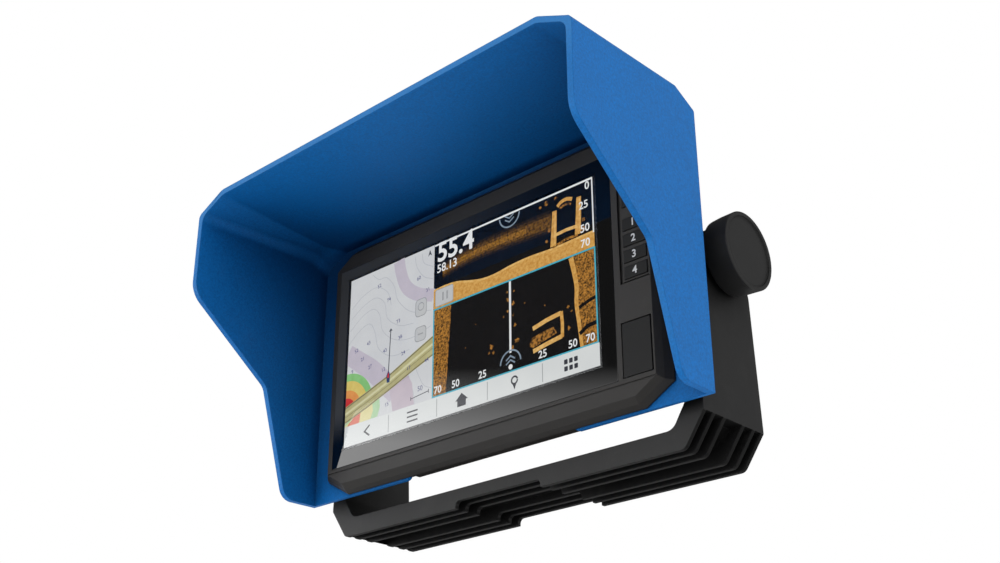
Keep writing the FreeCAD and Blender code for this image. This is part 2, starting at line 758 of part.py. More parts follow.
def rear_housing():
    case = new_body("rear_housing")
    add(case, "y", -29.95, -26, ("poly", spigot_octagon(1.3, 1.3, 2, 1)))
    loft(case,
         (-26, octagon(121.2, 28.6, 174.2, 12.0, 12.0)),
         (-8, octagon(109.0, 42.0, 163.0, 8.0, 8.0)),
         ("case_rear", octagon(108.0, 43.0, 162.0, 8.0, 8.0)))
    loft(case,
         (-31, octagon(109.6, 40.5, 163.5, 9.0, 9.0)),
         (-8, octagon(106.0, 45.0, 160.0, 7.0, 7.0)),
         ("case_rear-2.8", octagon(105.0, 46.0, 159.0, 7.0, 7.0)),
         kind="SubtractiveLoft")
    # groove for the seal
    cut(case, "y", -31, -28.5,
        ("poly", spigot_octagon(1.9, 2.1, 1.8, 1)), ("poly", spigot_octagon(3.1, 3.7, 1.5, 0.9)))
    # screw clearances, then counterbores
    beyond_rear = 5
    cut(case, "y", -31, beyond_rear, *screw_circles(1.7))
    cut(case, "y", -26.5, beyond_rear, *screw_circles(3.1))
    # window for the contact block, catch pocket, vent hole
    cut(case, "y", 0, 6, ("rect", -31, 55.4, 31, 66.6))
    cut(case, "y", 2.2, 6, ("rect", -12, 146.3, 12, 152.6))
    cut(case, "y", 0, 6, ("circle", *VENT, 3.0))
    keep(case)


def housing_seal():
    seal = new_body("housing_seal")
    add(seal, "y", -29.98, -28.6,
        ("poly", spigot_octagon(2, 2.2, 1.8, 1)), ("poly", spigot_octagon(3, 3.6, 1.5, 0.9)))
    keep(seal)


def housing_screws():
    screws = []
    for i, (x, z) in enumerate(SCREWS):
        shank = rod(f"screw_shank_{i}", "y", 1.2, -37.0, -26.4, x, z)
        head = rod(f"screw_head_{i}", "y", 2.8, -26.45, -24.2, x, z)
        drive = rod(f"screw_drive_{i}", "y", 1.2, -25.2, -24.0, x, z)
        screws.append(difference(f"screw_{i}", union(f"screw_blank_{i}", shank, head), drive))
    keep_group("housing_screws", screws)


def housing_fittings():
    """Vent plug and the contact block in the rear window."""
    stem = rod("vent_stem", "y", 2.95, 1.6, 4.0, *VENT)
    cap = rod("vent_cap", "y", 5.0, 4.0, 5.0, *VENT)
    keep(union("vent_plug", stem, cap))
    keep(block("contact_block", -30.8, 30.8, -3.0, 4.4, 55.6, 66.4))


# ---------------------------------------------------------------- quick-release cradle
SOCKET_X = (-66, -22, 22, 66)
SOCKET_Z = 80
LEVER_BORE = ("circle", "lever_pin_y", "lever_pin_z", "lever_pin_rad+run_gap")


def cradle():
    """Plate behind the housing, with an ear around the tilt axis at each end."""
    front, rear = "cradle_front", "cradle_front+cradle_thick"
    ear_low, ear_high = "pivot_height-ear_rad", "pivot_height+ear_rad"
    plate = new_body("cradle")
    add(plate, "y", front, rear, ("poly", octagon(110.0, 62.0, 150.0, 9.0, 9.0)))
    add(plate, "y", front, rear, ("rect", "-ear_out", ear_low, "ear_out", ear_high))
    for side in ("right", "left"):
        lo, hi = between(side, "ear_in", "ear_out")
        add(plate, "x", lo, hi, ("rect", 0, ear_low, rear, ear_high))
        add(plate, "x", lo, hi, ("circle", 0, "pivot_height", "ear_rad"))

    # stiffening ribs and lever lugs on the rear
    rib_long, rib_tall = 70, 3
    ribs = [("rect", x, z, x + rib_long, z + rib_tall) for z in (92, 136) for x in (-104, 34)]
    add(plate, "y", rear + "-0.5", rear + "+3", *ribs)
    add(plate, "y", rear + "-0.5", 16.2,
        ("rect", -27.5, 117.5, -22.8, 126.5), ("rect", 22.8, 117.5, 27.5, 126.5))

    # catch window, socket holes, lever pin bore, then the ears' bores
    cut(plate, "y", front + "-1", rear + "+1", ("rect", -11.5, 144, 11.5, 152))
    cut(plate, "y", front + "-1", rear + "+1",
        *[("circle", x, SOCKET_Z, "socket_rad+run_gap") for x in SOCKET_X])
    cut(plate, "x", -30, 30, LEVER_BORE)
    for side in ("left", "right"):
        lo, hi = between(side, "ear_in", "ear_out")
        cut(plate, "x", lo + "-1", hi + "+1", ("circle", 0, "pivot_height", "insert_rad"))
    keep(plate)


def thread_insert(side):
    keep_tilt_ring("thread_insert", side, radius="insert_rad", bore="stud_rad+run_gap",
                   inner="ear_in", outer="ear_out")


def release_lever():
    """Upright lever with a catch towards the housing, and the pin it turns on."""
    low, high = 120.4, 151
    lever = new_body("release_lever")
    add(lever, "y", 11.0, 14.8, ("rect", -22.4, low, 22.4, high))
    round_edges(lever, 4.0, lambda box: along(box, "y") and box.ZMin > high - 1)
    round_edges(lever, 1.5, lambda box: along(box, "x") and box.ZMax < low + 0.6)
    # catch to the front, then the bar on the rear
    add(lever, "y", 2.6, 11.5, ("rect", -10, 147.6, 10, 150.2))
    add(lever, "y", 14.3, 17.5, ("rect", -18, 145.5, 18, 149.5))
    cut(lever, "x", -25, 25, LEVER_BORE)
    keep(lever)
    keep(rod("lever_pin", "x", "lever_pin_rad", -27.4, 27.4, "lever_pin_y", "lever_pin_z"))


def rear_socket(i, x):
    """Cup open to the rear, with a ring of contact pins."""
    pin_count, pin_ring_rad, pin_rad = 5, 3.2, 0.6
    body = rod(f"socket_body_{i}", "y", "socket_rad", "cradle_front+0.4", 22.0, x, SOCKET_Z)
    bore = rod(f"socket_bore_{i}", "y", "socket_rad-2", 13.0, 23.0, x, SOCKET_Z)
    cup = difference(f"socket_cup_{i}", body, bore)
    pins = []
    for j in range(pin_count):
        angle = j * math.pi * 2 / pin_count
        pins.append(rod(f"socket_pin_{i}_{j}", "y", pin_rad, 12.5, 19.0,
                        x + pin_ring_rad * math.cos(angle),
                        SOCKET_Z + pin_ring_rad * math.sin(angle)))
    return union(f"socket_{i}", cup, *pins)


def socket_cap(i, x):
    """Cap over the rear end of a socket."""
    outside = rod(f"cap_outside_{i}", "y", "socket_rad+1.3", 14.0, 24.2, x, SOCKET_Z)
    inside = rod(f"cap_inside_{i}", "y", "socket_rad+run_gap", 13.0, 22.4, x, SOCKET_Z)
    return difference(f"cap_{i}", outside, inside)


# ---------------------------------------------------------------- knobs
def knob(side):
    """Round head, the stud through the arm and the ear, and the washer under the head."""
    def rim_edges(size):
        face_x = number(placed(side, size))
        return lambda box: near(box.XMin, face_x, 1e-3) and near(box.XMax, face_x, 1e-3)

    head = new_body("knob_head_" + side)
    add(head, "x", *between(side, "knob_back", "knob_front"),
        ("circle", 0, "pivot_height", "knob_rad"))
    round_edges(head, 1.6, rim_edges("knob_front"))
    round_edges(head, 1.0, rim_edges("knob_back"))
    # shallow dish in the outer face, then the blind hole for the stud
    cut(head, "x", *between(side, "knob_front-0.9", "knob_front+1"),
        ("circle", 0, "pivot_height", "knob_rad-2.6"))
    cut(head, "x", *between(side, "knob_back-1", "knob_front-5.5"),
        ("circle", 0, "pivot_height", "stud_rad"))
    keep(head)
    keep(rod("knob_stud_" + side, "x", "stud_rad",
             *between(side, "ear_in+1", "knob_front-5.6"), 0, "pivot_height"))
    keep_tilt_ring("knob_washer", side, radius=10.5, bore="stud_rad+run_gap",
                   inner="boss_face+run_gap", outer="knob_back-run_gap")


# ---------------------------------------------------------------- build
SIDES = ("left", "right")
bail_bracket()
for side in SIDES:
    arm_rings(side)
front_bezel()
display_stack()
backlight_frame()
main_board()
shield_can()
heat_spreader()
small_electronics()
keypad_plate()
for name, z, tall in KEYS:
    key(name, z, tall)
keypad_layers()
card_door()
sun_visor()
rear_housing()
housing_seal()
housing_screws()
housing_fittings()
cradle()
for side in SIDES:
    thread_insert(side)
release_lever()
keep_group("rear_sockets", [rear_socket(i, x) for i, x in enumerate(SOCKET_X)])
keep_group("socket_caps", [socket_cap(i, x) for i, x in enumerate(SOCKET_X)])
for side in SIDES:
    knob(side)

# ---------------------------------------------------------------- check and write
doc.recompute()
failed = [obj.Name for obj in doc.Objects if "Invalid" in obj.State or "Error" in obj.State]
if failed:
    raise SystemExit("objects failed: " + ", ".join(failed))
for piece in PIECES:
    if piece.Shape.isNull() or not piece.Shape.isValid() or piece.Shape.Volume <= 0:
        raise SystemExit("bad shape: " + piece.Label)
if len({piece.Label for piece in PIECES}) < len(PIECES):
    raise SystemExit("a name is used twice")
os.makedirs("parts", exist_ok=True)
for piece in PIECES:
    piece.Shape.exportStep(os.path.join("parts", piece.Label + ".step"))
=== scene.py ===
# Chart and sonar display with a blue sun visor, held in a bail bracket by two clamping knobs.
# Z is up, the picture faces -Y, and +X is to the right of someone looking at the picture.
# Lengths are metres unless a name or comment says mm.
import bpy
import bmesh
import json
import math
from mathutils import Matrix, Vector

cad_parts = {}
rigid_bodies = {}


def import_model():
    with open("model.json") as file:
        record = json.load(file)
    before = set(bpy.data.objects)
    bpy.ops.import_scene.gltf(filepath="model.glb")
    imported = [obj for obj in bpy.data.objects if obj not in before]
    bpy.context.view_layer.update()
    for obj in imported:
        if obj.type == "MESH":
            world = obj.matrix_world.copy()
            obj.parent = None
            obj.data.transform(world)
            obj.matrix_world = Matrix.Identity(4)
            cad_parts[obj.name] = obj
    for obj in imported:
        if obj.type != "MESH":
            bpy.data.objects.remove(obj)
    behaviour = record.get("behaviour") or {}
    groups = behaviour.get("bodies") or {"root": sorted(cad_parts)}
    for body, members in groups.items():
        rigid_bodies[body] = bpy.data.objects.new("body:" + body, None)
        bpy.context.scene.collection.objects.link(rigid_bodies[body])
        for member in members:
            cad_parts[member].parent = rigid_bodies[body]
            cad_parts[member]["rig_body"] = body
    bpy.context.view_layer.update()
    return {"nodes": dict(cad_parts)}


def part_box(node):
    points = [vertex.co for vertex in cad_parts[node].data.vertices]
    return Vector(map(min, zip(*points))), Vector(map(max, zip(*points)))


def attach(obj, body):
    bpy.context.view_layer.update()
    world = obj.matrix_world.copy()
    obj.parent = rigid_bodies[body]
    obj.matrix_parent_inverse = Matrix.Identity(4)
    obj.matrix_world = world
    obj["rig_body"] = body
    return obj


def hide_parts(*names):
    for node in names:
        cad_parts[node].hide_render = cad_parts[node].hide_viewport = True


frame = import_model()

scene = bpy.context.scene
NODES = frame["nodes"]
MM = 0.001
TILT_AXIS_Y = 54.05     # mm: the tilt axis lies this far behind the origin

# area of the cover glass that stays clear over the picture
LIT_LEFT, LIT_RIGHT = -0.1089, 0.0879
LIT_BOTTOM, LIT_TOP = 0.0481, 0.1588


def from_axis(y):
    """World Y of a place given in mm from the tilt axis."""
    return (y + TILT_AXIS_Y) * MM


# =====================================================================================
# node kit: a value given to any of these may be a number, a colour or another socket
# =====================================================================================
class Nodes:
    def __init__(self, tree):
        self.tree = tree
        tree.nodes.clear()

    def node(self, kind, inputs=None, **props):
        made = self.tree.nodes.new(kind)
        for name, value in props.items():
            setattr(made, name, value)
        for key, value in (inputs or {}).items():
            if isinstance(value, bpy.types.NodeSocket):
                self.tree.links.new(value, made.inputs[key])
            else:
                made.inputs[key].default_value = value
        return made

    def math(self, op, a, b=None):
        inputs = {0: a} if b is None else {0: a, 1: b}
        return self.node("ShaderNodeMath", inputs, operation=op).outputs[0]

    def plus(self, a, b):
        return self.math("ADD", a, b)

    def times(self, a, b):
        return self.math("MULTIPLY", a, b)

    def minus(self, a, b):
        return self.math("SUBTRACT", a, b)

    def remap(self, value, over=(0.3, 0.7), to=(0.0, 1.0), smooth=False):
        """Carry the range `over` to the range `to`; noise mostly lies in 0.3 to 0.7."""
        kind = "SMOOTHSTEP" if smooth else "LINEAR"
        inputs = dict(enumerate((value, *over, *to)))
        return self.node("ShaderNodeMapRange", inputs, interpolation_type=kind).outputs[0]

    def split(self, vector):
        return self.node("ShaderNodeSeparateXYZ", {0: vector}).outputs

    def mix_shader(self, factor, a, b):
        return self.node("ShaderNodeMixShader", {0: factor, 1: a, 2: b}).outputs[0]


class Mat(Nodes):
    """Procedural material in object coordinates: its grain keeps its size and moves with the piece."""

    def __init__(self, name):
        self.material = bpy.data.materials.new(name)
        self.material.use_nodes = True
        super().__init__(self.material.node_tree)
        self.coord = self.node("ShaderNodeTexCoord").outputs["Object"]

    def mix(self, factor, a, b, blend="MIX"):
        inputs = {0: factor, 6: a, 7: b}
        return self.node("ShaderNodeMix", inputs, data_type="RGBA", blend_type=blend).outputs[2]

    def noise(self, scale, detail=2.0, rough=0.5, vec=None):
        inputs = {"Vector": self.coord if vec is None else vec,
                  "Scale": scale, "Detail": detail, "Roughness": rough}
        return self.node("ShaderNodeTexNoise", inputs).outputs["Fac"]

    def voronoi(self, scale, vec=None, feature="F1"):
        inputs = {"Vector": self.coord if vec is None else vec, "Scale": scale}
        return self.node("ShaderNodeTexVoronoi", inputs, feature=feature).outputs["Distance"]

    def stretch(self, *scale):
        inputs = {"Vector": self.coord, "Scale": scale}
        return self.node("ShaderNodeMapping", inputs).outputs["Vector"]

    def ramp(self, value, *stops):
        made = self.node("ShaderNodeValToRGB", {0: value})
        for element, (place, colour) in zip(made.color_ramp.elements, stops):
            element.position = place
            element.color = colour
        return made.outputs[0]

    def edge(self, radius):
        """1 along convex and concave edges, 0 on flat parts; also the softened normal."""
        soft = self.node("ShaderNodeBevel", {"Radius": radius}, samples=4).outputs[0]
        flat = self.node("ShaderNodeNewGeometry").outputs["Normal"]
        dot = self.node("ShaderNodeVectorMath", {0: soft, 1: flat}, operation="DOT_PRODUCT")
        return self.remap(self.minus(1.0, dot.outputs["Value"]), over=(0.02, 0.25)), soft

    def bump(self, height, strength, distance, normal=None):
        inputs = {"Strength": strength, "Distance": distance, "Height": height}
        if normal is not None:
            inputs["Normal"] = normal
        return self.node("ShaderNodeBump", inputs).outputs[0]

    def principled(self, **inputs):
        inputs = {key.replace("_", " "): value for key, value in inputs.items()}
        return self.node("ShaderNodeBsdfPrincipled", inputs).outputs[0]

    def done(self, shader):
        self.node("ShaderNodeOutputMaterial", {"Surface": shader})
        return self.material


def srgb(*rgb):
    """Linear colour of a display colour given as 0 to 255."""
    def linear(c):
        return c / 255 / 12.92 if c <= 10.31 else ((c / 255 + 0.055) / 1.055) ** 2.4
    return (*map(linear, rgb), 1.0)


def tint(colour, gain):
    return (*(min(1.0, c * gain) for c in colour[:3]), 1.0)


def grey(value):
    return (value, value, value, 1.0)


# =====================================================================================
# materials
# =====================================================================================
def moulded(name, base, *, rough, spec, mottle, grain, speckle, bump, edge_wear_and_highlight, wear_and_highlight_colour, edge=0.0007,
            dust=0.0, painted_shade_tone=None, reach=0.13, clear=0.76, painted_front_light=0.0, under=0.0):
    """Moulded plastic: broad mottling, fine spark-eroded grain, edges lightened partly as scuffing and
    partly as painted highlight, a little dust.

    With `painted_shade_tone`, parts enclosed within `reach` lean to that tone and are darkened, as
    painted shade, up to openness `clear`;
    `painted_front_light` lightens faces that look forward, as painted light, and `under` darkens faces
    that look down, as painted shade.
    """
    m = Mat(name)
    big = m.noise(scale=22.0, detail=4.0, rough=0.6)
    mid = m.noise(scale=160.0, detail=3.0, rough=0.6)
    fine = m.noise(scale=grain, detail=2.0, rough=0.7)
    cell = m.voronoi(scale=grain * 1.3)
    colour = m.mix(m.remap(big), tint(base, 1 - mottle), tint(base, 1 + mottle))
    colour = m.mix(m.remap(mid, over=(0.35, 0.7)), colour, tint(base, 1 + mottle * 0.5))
    specks = m.ramp(fine, (0.32, grey(1 - speckle)), (0.68, grey(1 + speckle)))
    colour = m.mix(1.0, colour, specks, "MULTIPLY")
    shine = spec
    # painted light: faces that look forward are lightened towards the edge colour, more near the top
    if painted_front_light:
        facing = m.split(m.node("ShaderNodeTexCoord").outputs["Normal"])
        height = m.split(m.coord)[2]
        # a third of the effect comes in at the foot, the rest near the top
        high = m.plus(m.remap(height, over=(0.02, 0.05), to=(0.0, painted_front_light * 0.35)),
                      m.remap(height, over=(0.160, 0.178), to=(0.0, painted_front_light * 0.65)))
        forward = m.remap(facing[1], over=(-0.95, -0.7), to=(1.0, 0.0))
        colour = m.mix(m.times(forward, high), colour, wear_and_highlight_colour)
    # painted shade: faces that look down are darkened and lose shine
    if under:
        facing = m.split(m.node("ShaderNodeNewGeometry").outputs["Normal"])
        downward_shade = m.remap(facing[2], over=(-0.6, -0.35), to=(under, 0.0))
        colour = m.mix(downward_shade, colour, tint(base, 0.12))
        shine = m.remap(downward_shade, over=(0.0, 1.0), to=(spec, spec * 0.12))
    # edges lightened towards the edge colour, partly as scuffing and partly as painted highlight
    edge_mask, normal = m.edge(edge)
    edge_mask = m.times(edge_mask, m.remap(mid, over=(0.35, 0.65), to=(0.35, 1.0)))
    colour = m.mix(m.times(edge_mask, edge_wear_and_highlight), colour, wear_and_highlight_colour)
    # painted shade: parts enclosed by nearby geometry take the dark tone, are darkened and lose shine
    if painted_shade_tone:
        shelter = m.node("ShaderNodeAmbientOcclusion", {"Distance": reach}, samples=6)
        open_sky = shelter.outputs["AO"]
        colour = m.mix(m.remap(open_sky, over=(0.18, clear), to=(1.0, 0.0)), colour, painted_shade_tone)
        shade = m.remap(open_sky, over=(0.05, clear * 0.8), to=(0.55, 1.0))
        tone = m.node("ShaderNodeCombineColor", {0: shade, 1: shade, 2: shade}).outputs[0]
        colour = m.mix(1.0, colour, tone, "MULTIPLY")
        shine = m.times(m.remap(open_sky, over=(0.25, clear + 0.09), to=(0.2, 1.0)), shine)
    if dust:
        patches = m.remap(m.noise(scale=75.0, detail=5.0, rough=0.7), over=(0.52, 0.75))
        colour = m.mix(m.times(patches, dust), colour, (0.35, 0.34, 0.32, 1))
    roughness = m.plus(m.remap(fine, to=(rough - 0.05, rough + 0.06)), m.times(edge_mask, -0.08))
    roughness = m.plus(roughness, m.remap(big, to=(-0.03, 0.03)))
    height = m.plus(m.times(fine, 0.6), m.times(cell, 0.5))
    normal = m.bump(height, strength=bump, distance=0.00006, normal=normal)
    return m.done(m.principled(Base_Color=colour, Roughness=roughness,
                               Specular_IOR_Level=shine, Normal=normal))


def rubber_mat(name, base, rough):
    m = Mat(name)
    big = m.noise(scale=60.0, detail=4.0, rough=0.6)
    fine = m.noise(scale=2600.0, detail=2.0, rough=0.6)
    colour = m.mix(m.remap(big), tint(base, 0.8), tint(base, 1.25))
    edge_mask, normal = m.edge(0.0006)
    colour = m.mix(m.times(edge_mask, 0.22), colour, tint(base, 4.0))
    normal = m.bump(fine, strength=0.2, distance=0.00005, normal=normal)
    return m.done(m.principled(Base_Color=colour, Specular_IOR_Level=0.25, Normal=normal,
                               Roughness=m.remap(fine, to=(rough - 0.06, rough + 0.06))))


def metal(name, base, *, rough, grain, axis=(1.0, 1.0, 1.0), stain=0.15, tone=None):
    """Machined or rolled metal: brushing drawn out along `axis`, faint stains, bright edges."""
    m = Mat(name)
    brush = m.noise(scale=grain, detail=3.0, rough=0.65, vec=m.stretch(*axis))
    big = m.noise(scale=45.0, detail=5.0, rough=0.65)
    colour = m.mix(m.remap(brush), tint(base, 0.86), tint(base, 1.08))
    stained = m.times(m.remap(big, over=(0.45, 0.75)), stain)
    colour = m.mix(stained, colour, tone or tint(base, 0.45))
    edge_mask, normal = m.edge(0.0005)
    colour = m.mix(m.times(edge_mask, 0.5), colour, tint(base, 1.35))
    roughness = m.plus(m.remap(brush, to=(rough - 0.07, rough + 0.1)), m.times(big, 0.08))
    normal = m.bump(brush, strength=0.18, distance=0.00004, normal=normal)
    return m.done(m.principled(Base_Color=colour, Metallic=1.0, Roughness=roughness,
                               Normal=normal))


def board_mat(name):
    """Solder mask with tracks and gilt pads."""
    m = Mat(name)
    cells = m.voronoi(scale=260.0, vec=m.stretch(1.0, 0.02, 1.0), feature="DISTANCE_TO_EDGE")
    track = m.remap(cells, over=(0.06, 0.10), to=(1.0, 0.0))
    spots = m.voronoi(scale=420.0, vec=m.stretch(1.0, 0.02, 1.0))
    dots = m.remap(spots, over=(0.16, 0.2), to=(1.0, 0.0))
    mask = m.remap(m.noise(scale=30.0, detail=3.0))
    colour = m.mix(mask, (0.006, 0.085, 0.035, 1), (0.012, 0.13, 0.055, 1))
    colour = m.mix(m.times(track, 0.55), colour, (0.03, 0.24, 0.10, 1))
    colour = m.mix(dots, colour, (0.75, 0.55, 0.22, 1))
    roughness = m.remap(dots, over=(0.0, 1.0), to=(0.38, 0.25))
    normal = m.bump(m.plus(track, dots), strength=0.3, distance=0.00003)
    return m.done(m.principled(Base_Color=colour, Metallic=m.times(dots, 0.9),
                               Roughness=roughness, Normal=normal))


def foam_mat(name):
    m = Mat(name)
    pores = m.voronoi(scale=2400.0)
    colour = m.mix(m.remap(pores, over=(0.1, 0.6)), grey(0.008), grey(0.05))
    normal = m.bump(pores, strength=0.5, distance=0.0002)
    return m.done(m.principled(Base_Color=colour, Roughness=0.9, Specular_IOR_Level=0.15,
                               Normal=normal))


def ceramic_mat(name):
    m = Mat(name)
    grain = m.noise(scale=900.0, detail=4.0, rough=0.7)
    colour = m.mix(m.remap(grain, over=(0.35, 0.65)), (0.60, 0.52, 0.40, 1), (0.74, 0.66, 0.52, 1))
    edge_mask, normal = m.edge(0.0006)
    colour = m.mix(m.times(edge_mask, 0.3), colour, (0.85, 0.8, 0.7, 1))
    normal = m.bump(grain, strength=0.2, distance=0.0001, normal=normal)
    return m.done(m.principled(Base_Color=colour, Roughness=m.remap(grain, to=(0.45, 0.6)),
                               Normal=normal))


def film_mat(name):
    """Dark polariser film of the unlit panel edge."""
    m = Mat(name)
    grain = m.noise(scale=500.0, detail=3.0, rough=0.6)
    colour = m.mix(m.remap(grain), (0.008, 0.008, 0.011, 1), (0.014, 0.014, 0.019, 1))
    normal = m.bump(grain, strength=0.05, distance=0.00002)
    return m.done(m.principled(Base_Color=colour, Roughness=m.remap(grain, to=(0.2, 0.3)),
                               Normal=normal))


STEEL = (0.58, 0.58, 0.59, 1)
MATERIALS = {
    # painted shade in the enclosed parts of visor, bracket and knob; painted light on the visor's
    # forward faces; painted shade on the bracket's downward faces; the edge colours of all these
    # plastics also serve as painted edge highlight
    "visor": moulded(
        "mat_visor", (0.0022, 0.141, 0.456, 1.0), rough=0.56, spec=0.22, mottle=0.06, grain=800.0,
        speckle=0.17, bump=0.34, edge_wear_and_highlight=0.04, wear_and_highlight_colour=(0.06, 0.26, 0.58, 1), edge=0.0009, dust=0.006,
        painted_shade_tone=(0.0001, 0.0185, 0.083, 1), clear=0.88, painted_front_light=0.42),
    "bezel": moulded(
        "mat_bezel", (0.0158, 0.0144, 0.0134, 1), rough=0.52, spec=0.28, mottle=0.10,
        grain=1900.0, speckle=0.16, bump=0.28, edge_wear_and_highlight=0.10, wear_and_highlight_colour=(0.045, 0.045, 0.046, 1),
        edge=0.0006, dust=0.010),
    "bracket": moulded(
        "mat_bracket", (0.0120, 0.0120, 0.0121, 1), rough=0.56, spec=0.26, mottle=0.12,
        grain=1300.0, speckle=0.20, bump=0.32, edge_wear_and_highlight=0.10, wear_and_highlight_colour=grey(0.045), edge=0.0008,
        dust=0.015, painted_shade_tone=(0.0055, 0.0055, 0.0057, 1), reach=0.03, clear=0.86, under=0.8),
    "knob": moulded(
        "mat_knob", (0.0105, 0.0105, 0.0106, 1), rough=0.52, spec=0.27, mottle=0.10,
        grain=2200.0, speckle=0.14, bump=0.2, edge_wear_and_highlight=0.4, wear_and_highlight_colour=(0.034, 0.034, 0.035, 1),
        edge=0.0005, dust=0.008, painted_shade_tone=(0.0035, 0.0035, 0.0036, 1), reach=0.004),
    "key": moulded(
        "mat_key", (0.0052, 0.0052, 0.0053, 1), rough=0.48, spec=0.17, mottle=0.08,
        grain=2600.0, speckle=0.12, bump=0.18, edge_wear_and_highlight=0.12, wear_and_highlight_colour=grey(0.04), edge=0.0004),
    "case": moulded(
        "mat_case", (0.0135, 0.0135, 0.0138, 1), rough=0.58, spec=0.26, mottle=0.12,
        grain=1500.0, speckle=0.2, bump=0.4, edge_wear_and_highlight=0.15, wear_and_highlight_colour=(0.05, 0.05, 0.051, 1),
        edge=0.0008, dust=0.025),
    "print": moulded(
        "mat_print", (0.70, 0.71, 0.72, 1), rough=0.5, spec=0.3, mottle=0.04, grain=2800.0,
        speckle=0.05, bump=0.08, edge_wear_and_highlight=0.10, wear_and_highlight_colour=grey(0.5), edge=0.0001),
    "acetal": moulded(
        "mat_acetal", (0.62, 0.60, 0.54, 1), rough=0.42, spec=0.45, mottle=0.04, grain=900.0,
        speckle=0.05, bump=0.1, edge_wear_and_highlight=0.2, wear_and_highlight_colour=(0.8, 0.79, 0.74, 1)),
    "rubber": rubber_mat("mat_rubber", grey(0.011), rough=0.72),
    "foam": foam_mat("mat_foam"),
    "sheet": metal("mat_sheet", (0.60, 0.60, 0.61, 1), rough=0.34, axis=(1.0, 1.0, 0.06),
                   grain=900.0),
    "steel": metal("mat_steel", STEEL, rough=0.26, axis=(0.15, 1.0, 1.0), grain=1500.0),
    "steel_y": metal("mat_steel_y", STEEL, rough=0.26, axis=(1.0, 0.15, 1.0), grain=1500.0),
    "brass": metal("mat_brass", (0.78, 0.58, 0.26, 1), rough=0.28, axis=(0.2, 1.0, 1.0),
                   grain=1300.0, stain=0.25, tone=(0.35, 0.2, 0.07, 1)),
    "cast": metal("mat_cast", (0.55, 0.55, 0.56, 1), rough=0.48, grain=700.0),
    "board": board_mat("mat_board"),
    "ceramic": ceramic_mat("mat_ceramic"),
    "film": film_mat("mat_film"),
}


# =====================================================================================
# mesh kit
# =====================================================================================
def outward(bm):
    bmesh.ops.recalc_face_normals(bm, faces=bm.faces)


def shade(mesh, angle):
    """Smooth shading, sharp where faces meet at more than `angle` degrees."""
    mesh.shade_smooth()
    mesh.set_sharp_from_angle(angle=math.radians(angle))


def from_bm(name, bm, mats, smooth=32.0, recalc=True):
    """Object made from bm, which is freed; mats is one material or a list."""
    if recalc:
        outward(bm)
    mesh = bpy.data.meshes.new(name)
    bm.normal_update()
    bm.to_mesh(mesh)
    bm.free()
    ob = bpy.data.objects.new(name, mesh)
    scene.collection.objects.link(ob)
    for mat in (mats if isinstance(mats, list) else [mats]):
        mesh.materials.append(mat)
    shade(mesh, smooth)
    return ob


def bevelled(ob, width, segments, angle=32.0, harden=True):
    bevel = ob.modifiers.new("edge_radius", "BEVEL")
    bevel.width = width
    bevel.segments = segments
    bevel.limit_method = "ANGLE"
    bevel.angle_limit = math.radians(angle)
    bevel.use_clamp_overlap = True
    bevel.harden_normals = harden
    bevel.miter_outer = "MITER_ARC"


def evaluated_mesh(ob, **options):
    graph = bpy.context.evaluated_depsgraph_get()
    graph.update()
    if options:
        options["depsgraph"] = graph
    return bpy.data.meshes.new_from_object(ob.evaluated_get(graph), **options)


def bake(ob):
    """Apply every modifier of ob."""
    mesh = evaluated_mesh(ob, preserve_all_data_layers=True)
    old = ob.data
    ob.modifiers.clear()
    ob.data = mesh
    bpy.data.meshes.remove(old)


def badly_filled(bm):
    """Faces whose filling covers more than their outline encloses (it runs round a hole)."""
    filled = {}
    for tri in bm.calc_loop_triangles():
        a, b, c = (loop.vert.co for loop in tri)
        face = tri[0].face
        filled[face] = filled.get(face, 0.0) + (b - a).cross(c - a).length / 2
    return [face for face, area in filled.items()
            if abs(area - face.calc_area()) > 1e-9 + 1e-4 * area]


def cad_copy(node):
    """bmesh of a CAD node with its flat faces merged back into whole polygons."""
    attempts = 4
    planes = []     # (normal, distance) of planes whose faces must stay unmerged
    for attempt in range(attempts):
        bm = bmesh.new()
        bm.from_mesh(NODES[node].data)
        bmesh.ops.remove_doubles(bm, verts=bm.verts, dist=2e-6)
        bm.normal_update()

        def held(face):
            return any(face.normal.dot(normal) > 0.9999
                       and abs(face.verts[0].co.dot(normal) - distance) < 3e-6
                       for normal, distance in planes)
        edges = [e for e in bm.edges if not all(held(f) for f in e.link_faces)]
        bmesh.ops.dissolve_limit(bm, angle_limit=math.radians(0.25), verts=bm.verts, edges=edges,
                                 use_dissolve_boundaries=False, delimit=set())
        bm.normal_update()
        bad = badly_filled(bm)
        if not bad:
            return bm
        planes += [(f.normal.copy(), f.verts[0].co.dot(f.normal)) for f in bad]
        if attempt < attempts - 1:
            bm.free()
    bmesh.ops.triangulate(bm, faces=badly_filled(bm))
    return bm


def finish_piece(ob, body, slot, *nodes):
    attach(ob, body)
    if nodes:
        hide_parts(*nodes)


def best_triangulation(face):
    """The method whose triangles come closest to the true area of the face."""
    want = face.calc_area()
    errors = {}
    for method in ("EAR_CLIP", "BEAUTY"):
        trial = bmesh.new()
        trial.faces.new([trial.verts.new(v.co) for v in face.verts])
        bmesh.ops.triangulate(trial, faces=trial.faces[:], ngon_method=method)
        errors[method] = abs(sum(f.calc_area() for f in trial.faces) - want)
        trial.free()
    return min(errors, key=errors.get)


